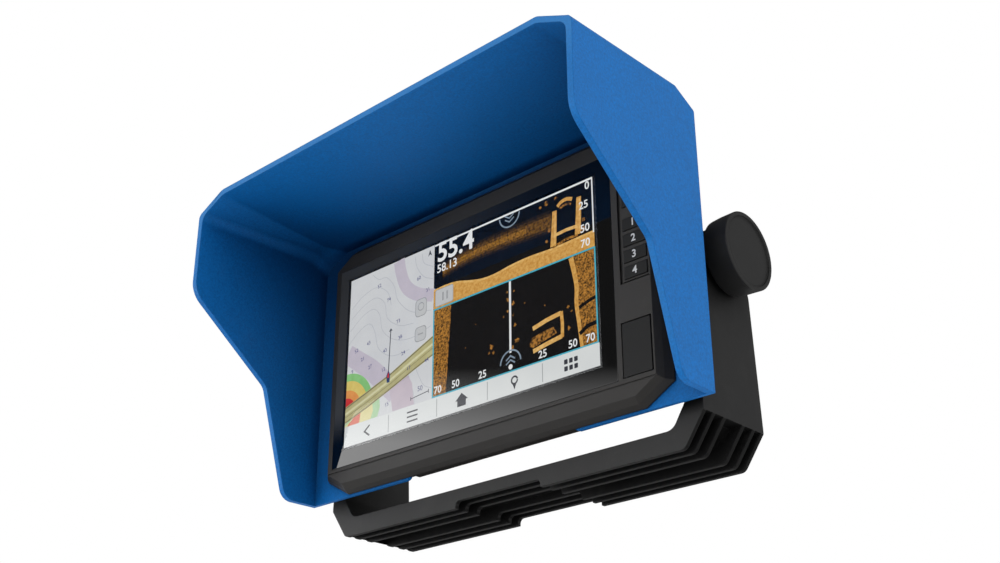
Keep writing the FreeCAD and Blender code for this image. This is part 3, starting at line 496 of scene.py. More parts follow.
def settle(ob, smooth):
    """Bake the edge rounding, triangulate badly filled polygons and weight the normals."""
    bake(ob)
    bm = bmesh.new()
    bm.from_mesh(ob.data)
    bad = [face.index for face in badly_filled(bm)]
    bm.faces.ensure_lookup_table()
    for i in sorted(bad, reverse=True):
        face = bm.faces[i]
        bmesh.ops.triangulate(bm, faces=[face], ngon_method=best_triangulation(face))
        bm.faces.ensure_lookup_table()
    bm.to_mesh(ob.data)
    bm.free()
    shade(ob.data, smooth)
    weighted = ob.modifiers.new("weighted_normal", "WEIGHTED_NORMAL")
    weighted.keep_sharp = True


def slice_faces(ob, cuts):
    """Divide the faces along (axis, place) planes, so no polygon runs round an opening."""
    bm = bmesh.new()
    bm.from_mesh(ob.data)
    for axis, place in cuts:
        normal = Vector([1.0 if a == axis else 0.0 for a in "xyz"])
        bmesh.ops.bisect_plane(bm, geom=bm.verts[:] + bm.edges[:] + bm.faces[:], dist=1e-6,
                               plane_co=normal * place, plane_no=normal)
    bm.to_mesh(ob.data)
    bm.free()


def rect(x0, z0, x1, z1):
    return [(x0, z0), (x1, z0), (x1, z1), (x0, z1)]


def prism(bm, pts, lo, hi, axis):
    """Closed prism over a plane polygon, from lo to hi along an axis; gives its faces."""
    def at(p, t):
        return {"x": (t, p[0], p[1]), "y": (p[0], t, p[1]), "z": (p[0], p[1], t)}[axis]
    a = [bm.verts.new(at(p, lo)) for p in pts]
    b = [bm.verts.new(at(p, hi)) for p in pts]
    faces = [bm.faces.new(a), bm.faces.new(list(reversed(b)))]
    n = len(pts)
    for i in range(n):
        faces.append(bm.faces.new((a[(i + 1) % n], a[i], b[i], b[(i + 1) % n])))
    return faces


def skin(bm, rings):
    """Closed solid through equal-length rings of points."""
    loops = [[bm.verts.new(p) for p in ring] for ring in rings]
    n = len(loops[0])
    for near, far in zip(loops, loops[1:]):
        for i in range(n):
            bm.faces.new((near[i], near[(i + 1) % n], far[(i + 1) % n], far[i]))
    bm.faces.new(list(reversed(loops[0])))
    bm.faces.new(loops[-1])


def rounded(pts, radii, seg):
    """Plane polygon with its corners rounded; radii is one number or one per corner."""
    out = []
    n = len(pts)
    if not isinstance(radii, list):
        radii = [radii] * n
    for i in range(n):
        before, corner, after = Vector(pts[i - 1]), Vector(pts[i]), Vector(pts[(i + 1) % n])
        r = radii[i]
        if r <= 0:
            out.append(tuple(corner))
            continue
        a, b = (before - corner).normalized(), (after - corner).normalized()
        half = math.acos(max(-1.0, min(1.0, a.dot(b)))) / 2
        setback = r / math.tan(half)
        centre = corner + (a + b).normalized() * (r / math.sin(half))
        start, end = corner + a * setback, corner + b * setback
        a0 = math.atan2(start.y - centre.y, start.x - centre.x)
        a1 = math.atan2(end.y - centre.y, end.x - centre.x)
        while a1 - a0 > math.pi:
            a1 -= 2 * math.pi
        while a1 - a0 < -math.pi:
            a1 += 2 * math.pi
        for k in range(seg + 1):
            t = a0 + (a1 - a0) * k / seg
            out.append((centre.x + r * math.cos(t), centre.y + r * math.sin(t)))
    return out


def cutter(build):
    """Helper solid for a boolean, filled in by build(bm)."""
    bm = bmesh.new()
    build(bm)
    outward(bm)
    mesh = bpy.data.meshes.new("cutter")
    bm.to_mesh(mesh)
    bm.free()
    ob = bpy.data.objects.new("cutter", mesh)
    scene.collection.objects.link(ob)
    return ob


def carve(ob, *builds, op="DIFFERENCE"):
    """Boolean ob with each built solid, then merge the flat faces."""
    cutters = [cutter(build) for build in builds]
    for other in cutters:
        cut = ob.modifiers.new("cut", "BOOLEAN")
        cut.operation = op
        cut.object = other
        cut.solver = "EXACT"
    bake(ob)
    for other in cutters:
        mesh = other.data
        bpy.data.objects.remove(other)
        bpy.data.meshes.remove(mesh)
    bm = bmesh.new()
    bm.from_mesh(ob.data)
    bmesh.ops.remove_doubles(bm, verts=bm.verts, dist=1e-6)
    bmesh.ops.dissolve_limit(bm, angle_limit=math.radians(0.2), use_dissolve_boundaries=False,
                             verts=bm.verts, edges=bm.edges, delimit=set())
    bm.to_mesh(ob.data)
    bm.free()


def lathe(bm, profile, centre, steps):
    """Turn an (x, radius) profile around an X axis through centre (y, z)."""
    rings = []
    for k in range(steps):
        t = 2 * math.pi * k / steps
        y, z = math.cos(t), math.sin(t)
        rings.append([bm.verts.new((x, centre[0] + r * y, centre[1] + r * z)) for x, r in profile])
    for k in range(steps):
        a, b = rings[k], rings[(k + 1) % steps]
        for i in range(len(profile) - 1):
            bm.faces.new((a[i], b[i], b[i + 1], a[i + 1]))
    bm.faces.new([ring[0] for ring in rings])
    bm.faces.new([ring[-1] for ring in reversed(rings)])


def text_bm(text, size, bold, resolution, merge, depth=0.0):
    """bmesh of centred text in its own XY plane."""
    curve = bpy.data.curves.new("text", "FONT")
    curve.body = text
    curve.size = size
    curve.extrude = depth / 2
    curve.offset = bold
    curve.resolution_u = resolution
    curve.align_x = "CENTER"
    curve.align_y = "CENTER"
    ob = bpy.data.objects.new("text", curve)
    scene.collection.objects.link(ob)
    mesh = evaluated_mesh(ob)
    bpy.data.objects.remove(ob)
    bpy.data.curves.remove(curve)
    bm = bmesh.new()
    bm.from_mesh(mesh)
    bpy.data.meshes.remove(mesh)
    bmesh.ops.remove_doubles(bm, verts=bm.verts, dist=merge)
    return bm


# =====================================================================================
# sun visor: one moulded shell, in mm, y from the tilt axis
# =====================================================================================
VISOR_HALF = 146.6              # half width at the back
VISOR_FLARE = 0.4               # widening of each side, scaled by the share column
VISOR_WALL = 3.6
VISOR_SHIFT = 1.6               # the hood sits this far to the right
BACK_WALL_Y = (-38.5, -33.0)    # span of the cuts through the back wall

# front to back: y, flare share, side height, top corner x, top height
OUTER_STATIONS = ((-140.0, 1.04, 187.4 - 4.4, 124.9, 193.42),
                  (-50.0, 0.174, 187.4, 132.0, 191.1),
                  (-34.5, 0.0, 179.4, 125.0, 190.1))
INNER_STATIONS = ((-141.0, 1.05, 181.1, 124.1, 189.8),
                  (-51.0, 0.18, 185.2, 130.0, 187.5),
                  (-36.9, 0.0, 178.1, 123.6, 186.6))

# side outline: y, z, corner radius
VISOR_SIDE = ((-135.3, 131.7, 16), (-79.5, 87.2, 9), (-60.2, 20.6, 9),
              (-20, 20.6, 0), (-20, 200, 0), (-135.3, 200, 0))
# notch in the foot of the back wall: x, z, corner radius
FOOT_GAP = ((-58.5, 27.7, 0), (-58.5, 20.6, 3), (-61.52, 20.6, 0), (-61.52, 5, 0),
            (66.52, 5, 0), (66.52, 20.6, 0), (63.5, 20.6, 3), (63.5, 27.7, 0))


def rounded_table(table, seg):
    return rounded([row[:2] for row in table], [row[2] for row in table], seg)


def hood_rings(stations, wall, foot, side_radius, top_radius):
    rings = []
    for y, share, side, top_x, top in stations:
        half = VISOR_HALF + VISOR_FLARE * share - wall
        right = [(half, foot), (half, side), (top_x, top)]
        outline = right + [(-x, z) for x, z in reversed(right)]
        radii = [0, side_radius, top_radius, top_radius, side_radius, 0]
        rings.append([((x + VISOR_SHIFT) * MM, from_axis(y), z * MM)
                      for x, z in rounded(outline, radii, 8)])
    return rings


def through_back_wall(bm, outline):
    lo, hi = (from_axis(y) for y in BACK_WALL_Y)
    prism(bm, [(x * MM, z * MM) for x, z in outline], lo, hi, "y")


def visor_hollow(bm):
    skin(bm, hood_rings(INNER_STATIONS, VISOR_WALL, 8.0, side_radius=7.0, top_radius=9.0))


def visor_window(bm):
    """Opening for the display: a rectangle with its corners cut off."""
    half, lo, hi = 125.2, 24.3, 178.6
    cut_x, cut_z = 16.3, 9.2
    through_back_wall(bm, [
        (half, lo + cut_z), (half, hi - cut_z), (half - cut_x, hi), (-half + cut_x, hi),
        (-half, hi - cut_z), (-half, lo + cut_z), (-half + cut_x, lo), (half - cut_x, lo)])


def visor_silhouette(bm):
    outline = [(from_axis(y), z * MM) for y, z in rounded_table(VISOR_SIDE, 14)]
    prism(bm, outline, -0.16, 0.16, "x")


def visor_foot_gap(bm):
    through_back_wall(bm, rounded_table(FOOT_GAP, 8))


def make_visor():
    bm = bmesh.new()
    skin(bm, hood_rings(OUTER_STATIONS, 0.0, 12.0, side_radius=4.0, top_radius=7.0))
    visor = from_bm("sun_visor_v", bm, MATERIALS["visor"])
    carve(visor, visor_hollow, visor_window)
    carve(visor, visor_silhouette, op="INTERSECT")
    carve(visor, visor_foot_gap)
    slice_faces(visor, [("x", x * MM) for x in (-124.0, -60.0, 0.0, 65.0, 124.0)]
                + [("z", z * MM) for z in (30.0, 100.0, 168.0)])
    bevelled(visor, 0.0008, 3, angle=30.0, harden=False)
    settle(visor, 40.0)
    finish_piece(visor, "display", "visor_plastic", "sun_visor")


make_visor()


# =====================================================================================
# bracket, card door and card reader
# =====================================================================================
def make_bracket():
    """The CAD bracket with rounded edges."""
    node = "bail_bracket"
    body = NODES[node]["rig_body"]
    bracket = from_bm(node + "_v", cad_copy(node), MATERIALS["bracket"], smooth=34.0,
                      recalc=False)
    bevelled(bracket, 0.0005, 2, angle=34.0, harden=False)
    settle(bracket, 42.0)
    finish_piece(bracket, body, "bracket_plastic", node)


def make_card_door():
    """Thin plate with an upright rib behind its right edge."""
    plate, overlap = 0.0018, 0.0001
    rib_left, rib_right, rib_end = 0.0019, 0.0009, 0.010    # inwards from the plate's edges
    lo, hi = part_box("card_door")
    bm = bmesh.new()
    prism(bm, rounded(rect(lo.x, lo.z, hi.x, hi.z), 0.0006, 4), lo.y, lo.y + plate, "y")
    rib = rect(hi.x - rib_left, lo.z + rib_end, hi.x - rib_right, hi.z - rib_end)
    prism(bm, rib, lo.y + plate - overlap, hi.y, "y")
    door = from_bm("card_door_v", bm, MATERIALS["key"])
    bevelled(door, 0.00025, 3)
    finish_piece(door, "card_door", "key_plastic", "card_door")


def make_card_reader():
    """Block with two card slots in its front."""
    slot_heights = (0.0470, 0.0568)
    slot_half, slot_depth, margin = 0.0008, 0.0042, 0.0013
    between_slots = 0.0520
    lo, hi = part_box("card_reader")
    left, right = lo.x + margin, hi.x - margin
    bm = bmesh.new()
    prism(bm, rect(lo.x, lo.z, hi.x, hi.z), lo.y, hi.y, "y")
    reader = from_bm("card_reader_v", bm, MATERIALS["key"])

    def slots(bm):
        for z in slot_heights:
            prism(bm, rect(left, z - slot_half, right, z + slot_half),
                  lo.y - 0.001, lo.y + slot_depth, "y")

    carve(reader, slots)
    slice_faces(reader, [("x", left), ("x", right), ("z", between_slots)])
    bevelled(reader, 0.0002, 2)
    settle(reader, 40.0)
    finish_piece(reader, "display", "key_plastic", "card_reader")


make_bracket()
make_card_door()
make_card_reader()

# CAD pieces that keep their own mesh, by material
PAINTED = {
    "bezel": "front_bezel keypad_plate",
    "case": "rear_housing",
    "bracket": "cradle release_lever",
    "key": "key_power key_1 key_2 key_3 key_4 buzzer contact_block",
    "acetal": "arm_bush_left arm_bush_right",
    "rubber": "friction_washer_left friction_washer_right keypad_mat housing_seal vent_plug"
              " socket_caps",
    "foam": "glass_gasket",
    "film": "lcd_panel",
    "sheet": "backlight_frame shield_can",
    "board": "main_board key_board",
    "cast": "heat_spreader",
    "ceramic": "gnss_antenna",
    "steel": "door_pin lever_pin knob_stud_left knob_stud_right knob_washer_left"
             " knob_washer_right",
    "steel_y": "housing_screws",
    "brass": "thread_insert_left thread_insert_right",
    "knob": "rear_sockets",
}
for material_name, nodes in PAINTED.items():
    for node in nodes.split():
        slots = NODES[node].data.materials
        slots.clear()
        slots.append(MATERIALS[material_name])


# =====================================================================================
# clamping knobs: turned profile with a rolled rim and a shallow dished cap
# =====================================================================================
def make_knob(side, sign):
    """sign is the X direction the cap faces."""
    node = "knob_head_" + side
    lo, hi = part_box(node)
    back, cap = (lo.x, hi.x) if sign > 0 else (hi.x, lo.x)
    centre = (lo.y + hi.y) / 2, (lo.z + hi.z) / 2
    radius = (hi.z - lo.z) / 2
    width = abs(cap - back)
    dish = radius - 0.0033
    quarter = [math.pi / 2 * k / 5 for k in range(1, 6)]

    # (distance from the back, radius)
    profile = [(0.0, 0.0031), (0.0, radius - 0.0022)]
    profile += [(0.0010 - 0.0010 * math.cos(a), radius - 0.0022 + 0.0012 * math.sin(a))
                for a in quarter]                       # back edge
    profile += [(0.0020, radius - 0.0008), (width * 0.45, radius - 0.0003),
                (width - 0.0006, radius)]
    profile += [(width - 0.0005 + 0.0005 * math.sin(a), radius - 0.0005 + 0.0005 * math.cos(a))
                for a in quarter]                       # crisp rim
    profile += [(width, radius - 0.0021), (width - 0.00012, radius - 0.00232),
                (width - 0.00082, radius - 0.00255), (width - 0.0010, radius - 0.0029),
                (width - 0.0009, dish)]
    for k in range(1, 7):                               # dished cap
        r = dish * (1 - k / 6.5)
        profile.append((width - 0.0009 - 0.00035 * (1 - (r / dish) ** 2), r))
    bm = bmesh.new()
    lathe(bm, [(back + sign * t, r) for t, r in profile], centre, 128)
    ob = from_bm("knob_%s_v" % side, bm, MATERIALS["knob"], smooth=30.0)
    finish_piece(ob, "knob_" + side, "knob_plastic", node)


make_knob("left", -1)
make_knob("right", 1)


# =====================================================================================
# cover glass: clear over the picture, black printed border elsewhere
# =====================================================================================
def glass_mat():
    m = Mat("mat_cover_glass")
    x, _, z = m.split(m.coord)

    def beyond(value, lo, hi, margin=0.0012):
        """Distance outside the lit area along one axis, negative inside."""
        return m.minus(m.math("ABSOLUTE", m.minus(value, (lo + hi) / 2)), (hi - lo) / 2 + margin)

    outside = m.math("MAXIMUM", beyond(x, LIT_LEFT, LIT_RIGHT), beyond(z, LIT_BOTTOM, LIT_TOP))
    border = m.math("GREATER_THAN", outside, 0.0)
    smear = m.noise(scale=38.0, detail=4.0, rough=0.6)
    spot = m.noise(scale=420.0, detail=3.0, rough=0.65)
    rough = m.plus(m.remap(smear, over=(0.42, 0.7), to=(0.015, 0.055)),
                   m.remap(spot, over=(0.55, 0.8), to=(0.0, 0.02)))
    ink = m.mix(m.remap(spot), (0.0004, 0.0004, 0.0005, 1), (0.0009, 0.0009, 0.0011, 1))
    # painted reflection: the border is paler towards the left and above the foot
    painted_reflection = m.times(m.remap(x, over=(-0.115, 0.075), to=(1.0, 0.0), smooth=True),
                   m.remap(z, over=(0.050, 0.075), smooth=True))
    ink = m.mix(painted_reflection, ink, (0.056, 0.056, 0.054, 1))
    black = m.principled(Base_Color=ink, Roughness=rough, IOR=1.5)
    fresnel = m.node("ShaderNodeFresnel", {"IOR": 1.5}).outputs[0]
    glossy = m.node("ShaderNodeBsdfGlossy", {"Roughness": rough}).outputs[0]
    through = m.node("ShaderNodeBsdfTransparent", {0: (0.985, 0.99, 0.99, 1)}).outputs[0]
    front = m.mix_shader(border, m.mix_shader(fresnel, through, glossy), black)
    # the rear face adds no second reflection
    backfacing = m.node("ShaderNodeNewGeometry").outputs["Backfacing"]
    rear_clear = m.times(backfacing, m.minus(1.0, border))
    return m.done(m.mix_shader(rear_clear, front, through))


def make_sheet(node, mat, slot, corner, seg, bevel, front=None):
    """Upright sheet filling a CAD box, with rounded corners; front overrides its front Y."""
    lo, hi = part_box(node)
    bm = bmesh.new()
    outline = rounded(rect(lo.x, lo.z, hi.x, hi.z), corner, seg)
    prism(bm, outline, lo.y if front is None else front, hi.y, "y")
    sheet = from_bm(node + "_v", bm, mat)
    bevelled(sheet, bevel, 2)
    finish_piece(sheet, "display", slot, node)


make_sheet("touch_glass", glass_mat(), "cover_glass", corner=0.0012, seg=5, bevel=0.00018)
make_sheet("lcd_panel", MATERIALS["film"], "lcd_cell", corner=0.0008, seg=3, bevel=0.0003,
           front=from_axis(-42.55))

# =====================================================================================
# lit picture: thin closed patches between panel and glass, laid out in picture mm,
# u to the right and v down from the picture's top left corner
# =====================================================================================
PICTURE_LEFT = LIT_LEFT / MM - 1.6
PICTURE_TOP = LIT_TOP / MM + 1.1
PICTURE_WIDTH, PICTURE_HEIGHT = 196.8, 110.7
SONAR_LEFT, SONAR_SPLIT, VIEW_BOTTOM = 74.6, 42.6, 98.0
LEVEL_STEP = 0.00002            # each level lies this far in front of the one below
PATCH_THICKNESS = 0.000016

# colour: tone, second tone, then grain scale and contrast where they are not the default
PALETTE = {
    "chart": ((209, 210, 212), (204, 205, 208), 60.0),
    "lilac": ((194, 186, 198), (188, 181, 193), 90.0),
    "lilac2": ((193, 180, 190), (187, 175, 186), 90.0),
    "contour": ((183, 185, 191), (177, 179, 186)),
    # the green is paled to carry the glare of the cover glass, a painted reflection
    "green": ((140, 196, 128), (126, 184, 112), 140.0),
    "green2": ((176, 208, 168), (168, 202, 158), 140.0),
    "yellow": ((216, 196, 112), (208, 184, 98), 140.0),
    "yellow2": ((222, 214, 160), (214, 204, 148), 140.0),
    "orange": ((222, 150, 82), (212, 136, 70), 140.0),
    "red": ((206, 62, 58), (190, 50, 48), 140.0),
    "red2": ((218, 120, 100), (206, 104, 88), 140.0),
    "khaki": ((186, 180, 134), (176, 168, 120), 160.0),
    "khaki_dark": ((134, 127, 92), (120, 113, 80)),
    "khaki_pale": ((212, 208, 168), (204, 200, 158)),
    "ink": ((74, 76, 84), (62, 64, 72)),
    "ink_soft": ((96, 96, 136), (84, 84, 126)),
    "key_ink": ((58, 59, 66), (48, 49, 56)),
    "navy": ((58, 74, 112), (48, 62, 98)),
    "button": ((193, 194, 196), (188, 189, 191)),
    "button_line": ((158, 159, 162), (150, 151, 154)),
    "bar": ((217, 219, 218), (213, 215, 215), 40.0),
    "bar_line": ((140, 142, 144), (132, 134, 136)),
    "black": ((3, 3, 3), (7, 6, 5), 500.0),
    "black2": ((3, 3, 3), (11, 8, 6), 560.0),
    "white": ((232, 233, 234), (226, 227, 229)),
    "cyan": ((78, 176, 196), (66, 164, 186)),
    "steel": ((140, 156, 172), (120, 136, 154)),
    "amber": ((216, 168, 92), (190, 134, 58), 520.0),
    "amber_pale": ((226, 184, 112), (206, 154, 80), 500.0),
    "amber_dim": ((176, 120, 50), (40, 26, 10), 640.0, 1.3),
    "haze1": ((44, 30, 9), (8, 6, 4), 620.0),
    "haze2": ((78, 53, 14), (20, 13, 5), 620.0),
    "haze3": ((122, 83, 21), (40, 26, 8), 620.0),
    "haze4": ((164, 114, 32), (72, 48, 13), 620.0),
    "amber_grain": ((190, 130, 52), (30, 20, 9), 900.0),
}
SLOT = {colour: i for i, colour in enumerate(PALETTE)}


def lit_mat(name, tone, second, grain=700.0, contrast=1.0):
    """Glowing layer: two tones mixed by noise, under a fine grid of cells."""
    grid_pitch = 26000.0        # radians of the grid's sine per metre
    m = Mat(name)
    noise = m.noise(scale=grain, detail=3.0, rough=0.6)
    spread = (0.51 - 0.15 / contrast, 0.51 + 0.15 / contrast)
    colour = m.mix(m.remap(noise, over=spread), srgb(*tone), srgb(*second))
    x, _, z = m.split(m.coord)
    grid = m.times(m.math("SINE", m.times(x, grid_pitch)), m.math("SINE", m.times(z, grid_pitch)))
    glow = m.times(m.remap(grid, over=(-1.0, 1.0), to=(0.97, 1.0)), 1.0)
    roughness = m.remap(m.noise(scale=300.0), to=(0.5, 0.6))
    normal = m.bump(noise, strength=0.02, distance=0.00001)
    return m.done(m.principled(Base_Color=(0.004, 0.004, 0.005, 1), Roughness=roughness,
                               Specular_IOR_Level=0.0, Normal=normal, Emission_Color=colour,
                               Emission_Strength=glow))


lit_mats = [lit_mat("mat_lit_" + colour, *look) for colour, look in PALETTE.items()]
canvas = bmesh.new()


def level_y(level):
    return from_axis(-42.58) - LEVEL_STEP * level


def patch(pts, colour, level):
    """One thin closed polygon."""
    y = level_y(level)
    outline = [((PICTURE_LEFT + u) * MM, (PICTURE_TOP - v) * MM) for u, v in pts]
    for face in prism(canvas, outline, y, y + PATCH_THICKNESS, "y"):
        face.material_index = SLOT[colour]


def block(u0, v0, u1, v1, colour, level, radius=0.0):
    pts = rect(u0, v0, u1, v1)
    patch(rounded(pts, radius, 5) if radius else pts, colour, level)


def smooth_path(pts, steps=6):
    """Catmull-Rom curve through the points."""
    knots = [Vector(p) for p in pts]
    knots = [knots[0] * 2 - knots[1]] + knots + [knots[-1] * 2 - knots[-2]]
    out = []
    for i in range(1, len(knots) - 2):
        a, b, c, d = knots[i - 1:i + 3]
        for j in range(steps):
            t = j / steps
            out.append(0.5 * ((2 * b) + (c - a) * t + (2 * a - 5 * b + 4 * c - d) * t * t
                              + (3 * b - a - 3 * c + d) * t ** 3))
    out.append(knots[-2])
    return [tuple(p) for p in out]


def stroke(pts, width, colour, level, curve=False, taper=None):
    """Line of a given width, ending `taper` wide."""
    path = smooth_path(pts) if curve else list(pts)
    left, right = [], []
    n = len(path)
    for i in range(n):
        before = Vector(path[max(0, i - 1)])
        after = Vector(path[min(n - 1, i + 1)])
        here = Vector(path[i])
        along = (after - before).normalized()
        half = width / 2 if taper is None else (width + (taper - width) * i / (n - 1)) / 2
        mitre = 1.0
        if 0 < i < n - 1:
            mitre = 1.0 / max(0.5, abs((here - before).normalized().dot(along)))
        offset = Vector((-along.y, along.x)) * half * mitre
        left.append(tuple(here + offset))
        right.append(tuple(here - offset))
    patch(left + list(reversed(right)), colour, level)


def arc(cu, cv, r, a0, a1, n=28):
    angles = [math.radians(a0 + (a1 - a0) * i / n) for i in range(n + 1)]
    return [(cu + r * math.cos(a), cv + r * math.sin(a)) for a in angles]


def digits(text, u, v, size, colour, level, bold=0.0, spin=0.0):
    """Text centred on (u, v)."""
    glyphs = text_bm(text, size, bold, resolution=4, merge=size * 1e-4)
    co, si = math.cos(spin), math.sin(spin)
    y0 = level_y(level)
    placed = {}
    for lift in (0, 1):
        for vert in glyphs.verts:
            a, b = vert.co.x, vert.co.y
            placed[vert.index, lift] = canvas.verts.new((
                (PICTURE_LEFT + u + a * co - b * si) * MM, y0 + PATCH_THICKNESS * lift,
                (PICTURE_TOP - v + a * si + b * co) * MM))
    made = []
    for face in glyphs.faces:
        ids = [vert.index for vert in face.verts]
        made.append(canvas.faces.new([placed[i, 0] for i in ids]))
        made.append(canvas.faces.new([placed[i, 1] for i in reversed(ids)]))
    for edge in glyphs.edges:
        if len(edge.link_faces) == 1:
            i, j = (vert.index for vert in edge.verts)
            made.append(canvas.faces.new((placed[i, 0], placed[j, 0], placed[j, 1], placed[i, 1])))
    for face in made:
        face.material_index = SLOT[colour]
    glyphs.free()


# --- chart: (u, v) points of the depth contours
CONTOURS = (
    ((2, 20), (12, 14), (24, 12), (34, 18), (38, 28)),
    ((2, 27), (13, 21), (24, 19), (32, 25), (35, 36), (46, 44), (58, 46)),
    ((1, 35), (12, 28), (22, 26), (28, 32), (31, 43), (42, 52), (57, 55), (73, 52)),
    ((20, 2), (26, 7), (33, 8), (40, 16), (44, 27), (56, 38), (73, 42)),
    ((0, 44), (10, 37), (19, 35), (24, 42), (28, 54), (40, 62), (55, 62)),
    ((58, 2), (60, 10), (66, 18), (74, 22)),
    ((64, 2), (66, 9), (74, 14)),
    ((60, 74), (64, 82), (68, 88), (74, 91)),
    ((54, 76), (57, 84), (60, 93), (60, 98)),
)
# inner radius, outer radius, colour of the nested sectors at the left edge
SECTORS = ((19.5, 24.5, "green"), (13.5, 19.8, "yellow"), (8.5, 13.8, "orange"), (0.4, 8.8, "red"))
# lines along the khaki channel: (u, v) points, width, colour, level
CHANNEL_LINES = (
    (((0, 87.2), (20, 78.8), (40, 70.2), (58, 60.8), (74.7, 52.3)), 0.9, "khaki_dark", 12),
    (((0, 96.4), (20, 88.4), (40, 79.4), (58, 70.9), (74.7, 63.4)), 0.8, "khaki_dark", 12),
    (((0, 91.0), (20, 82.6), (40, 73.8), (58, 64.8), (74.7, 56.8)), 1.6, "khaki_pale", 12),
    (((0, 93.2), (20, 85.0), (40, 76.2), (58, 67.2), (74.7, 59.4)), 0.35, "khaki_dark", 13),
)
# depth, u, v
SOUNDINGS = (
    ("52", 27, 12), ("74", 36, 24), ("73", 45, 41), ("43", 19, 48), ("21", 14, 57),
    ("27", 21, 64), ("52", 8, 50), ("43", 34, 57), ("12", 33, 69), ("60", 62, 18),
    ("31", 70, 28), ("24", 50, 63), ("17", 55, 74), ("9", 5, 63), ("38", 47, 52),
    ("15", 37, 92), ("44", 70, 73),
)


def flatter(pts):
    """The channel's points, turned to lie flatter."""
    return [(u, v + 0.12 * u - 1.5) for u, v in pts]


def draw_chart():
    block(0, 0, 74.8, VIEW_BOTTOM, "chart", 0)
    for pts in CONTOURS:
        stroke(pts, 0.34, "contour", 1, curve=True)
    stroke(((44, 0), (46, 9), (51, 20), (61, 28), (74.8, 33)), 9.5, "lilac", 2, True, 8.0)
    stroke(((0, 50), (11, 58), (22, 66), (33, 76), (44, 86)), 12.0, "lilac", 2, True, 14.0)
    patch([(38, 78), (52, 74), (58, 84), (60, 97.5), (42, 97.5)], "lilac2", 3)
    for level, (inner, outer, colour) in enumerate(SECTORS, start=4):
        pts = arc(0, 88, outer, -92, 0) + list(reversed(arc(0, 88, inner, -92, 0)))
        patch([(max(0.0, u), v) for u, v in pts], colour, level)
    patch([(0, 96), (12, 91), (30, 83.5), (31, 92), (29, 97.6), (0, 97.6)], "green2", 8)
    patch([(0, 97), (12, 92), (24, 86.5), (25, 93), (23, 97.6), (0, 97.6)], "yellow2", 9)
    patch([(3, 97), (8, 93), (14, 91.5), (13, 97.6), (3, 97.6)], "red2", 10)
    patch(flatter([(0, 86.5), (20, 78), (40, 69.5), (58, 60), (74.8, 51.5),
                   (74.8, 64), (58, 71.5), (40, 80), (20, 89), (0, 97)]), "khaki", 11)
    for pts, width, colour, level in CHANNEL_LINES:
        stroke(flatter(pts), width, colour, level)

    # pointed mark with an arrow running up from it
    stroke(((37.6, 72.5), (38.6, 44.6)), 0.7, "ink", 14)
    stroke(((37.4, 45.6), (38.6, 44.2), (39.8, 45.6)), 0.6, "ink", 15)
    patch([(36.4, 78.4), (36.0, 73.8), (37.5, 70.6), (39.2, 73.8), (38.9, 78.4)], "navy", 15)
    patch([(36.8, 75.4), (37.0, 73.4), (37.6, 71.8), (38.3, 73.4), (38.3, 75.4)], "red", 16)

    # two buttons at the right, with a circle and a bar
    for v0, v1 in ((32.5, 43.0), (50.5, 59.0)):
        block(59.6, v0 - 0.5, 69.2, v1 + 0.5, "button_line", 14, 2.6)
        block(60.1, v0, 68.7, v1, "button", 15, 2.3)
    stroke(arc(64.4, 37.2, 2.4, 0, 352), 0.55, "button_line", 16)
    stroke(((62.2, 54.8), (66.6, 54.8)), 0.8, "button_line", 16)

    # scale bar and pointer
    for line in (((57.5, 92.6), (57.5, 95.0)), ((72.0, 91.2), (72.0, 93.6)),
                 ((57.5, 93.8), (72.0, 92.4))):
        stroke(line, 0.5, "ink", 14)
    digits("50", 65.0, 89.2, 4.4, "ink_soft", 14)
    patch([(69.6, 6.2), (71.2, 2.0), (72.8, 6.2), (71.2, 5.0)], "ink", 14)
    for text, u, v in SOUNDINGS:
        digits(text, u, v, 3.4, "ink_soft", 14, bold=0.02, spin=math.radians(12))


# --- upper sonar view
CLOUD = ((82.0, 20.0), (95.0, 17.4), (112.0, 16.2), (130.0, 16.2), (148.0, 16.6), (166.0, 17.2))
# half height at the left end and at the right end, colour, number of cloud points covered
CLOUD_BANDS = ((5.6, 7.4, "haze1", 6), (4.2, 5.6, "haze2", 6), (2.8, 3.9, "haze3", 6),
               (1.4, 2.0, "haze4", 5))
BOTTOM_EDGE = ((74.8, 30.5), (84, 30.0), (94, 30.8), (104, 33.4), (114, 35.4), (124, 35.6),
               (136, 34.2), (150, 33.6), (166, 34.2), (182, 33.8), (196, 33.4))
# u, v, radius
UPPER_SPECKS = ((163, 4.6, 1.6), (170, 4.0, 1.1), (158.5, 5.6, 0.9), (164.8, 22.0, 1.3),
                (189.0, 24.0, 1.2), (162.8, 28.2, 1.0), (188.5, 29.4, 1.5))
# text, u, v, size, boldness
READINGS = (("55.4", 92.4, 7.2, 17.6, 0.36), ("58.13", 85.6, 17.4, 7.6, 0.1),
            ("0", 192.2, 4.4, 6.6, 0.1), ("25", 189.4, 15.4, 6.6, 0.1),
            ("50", 189.8, 29.6, 6.6, 0.1), ("70", 189.8, 38.6, 6.6, 0.1))


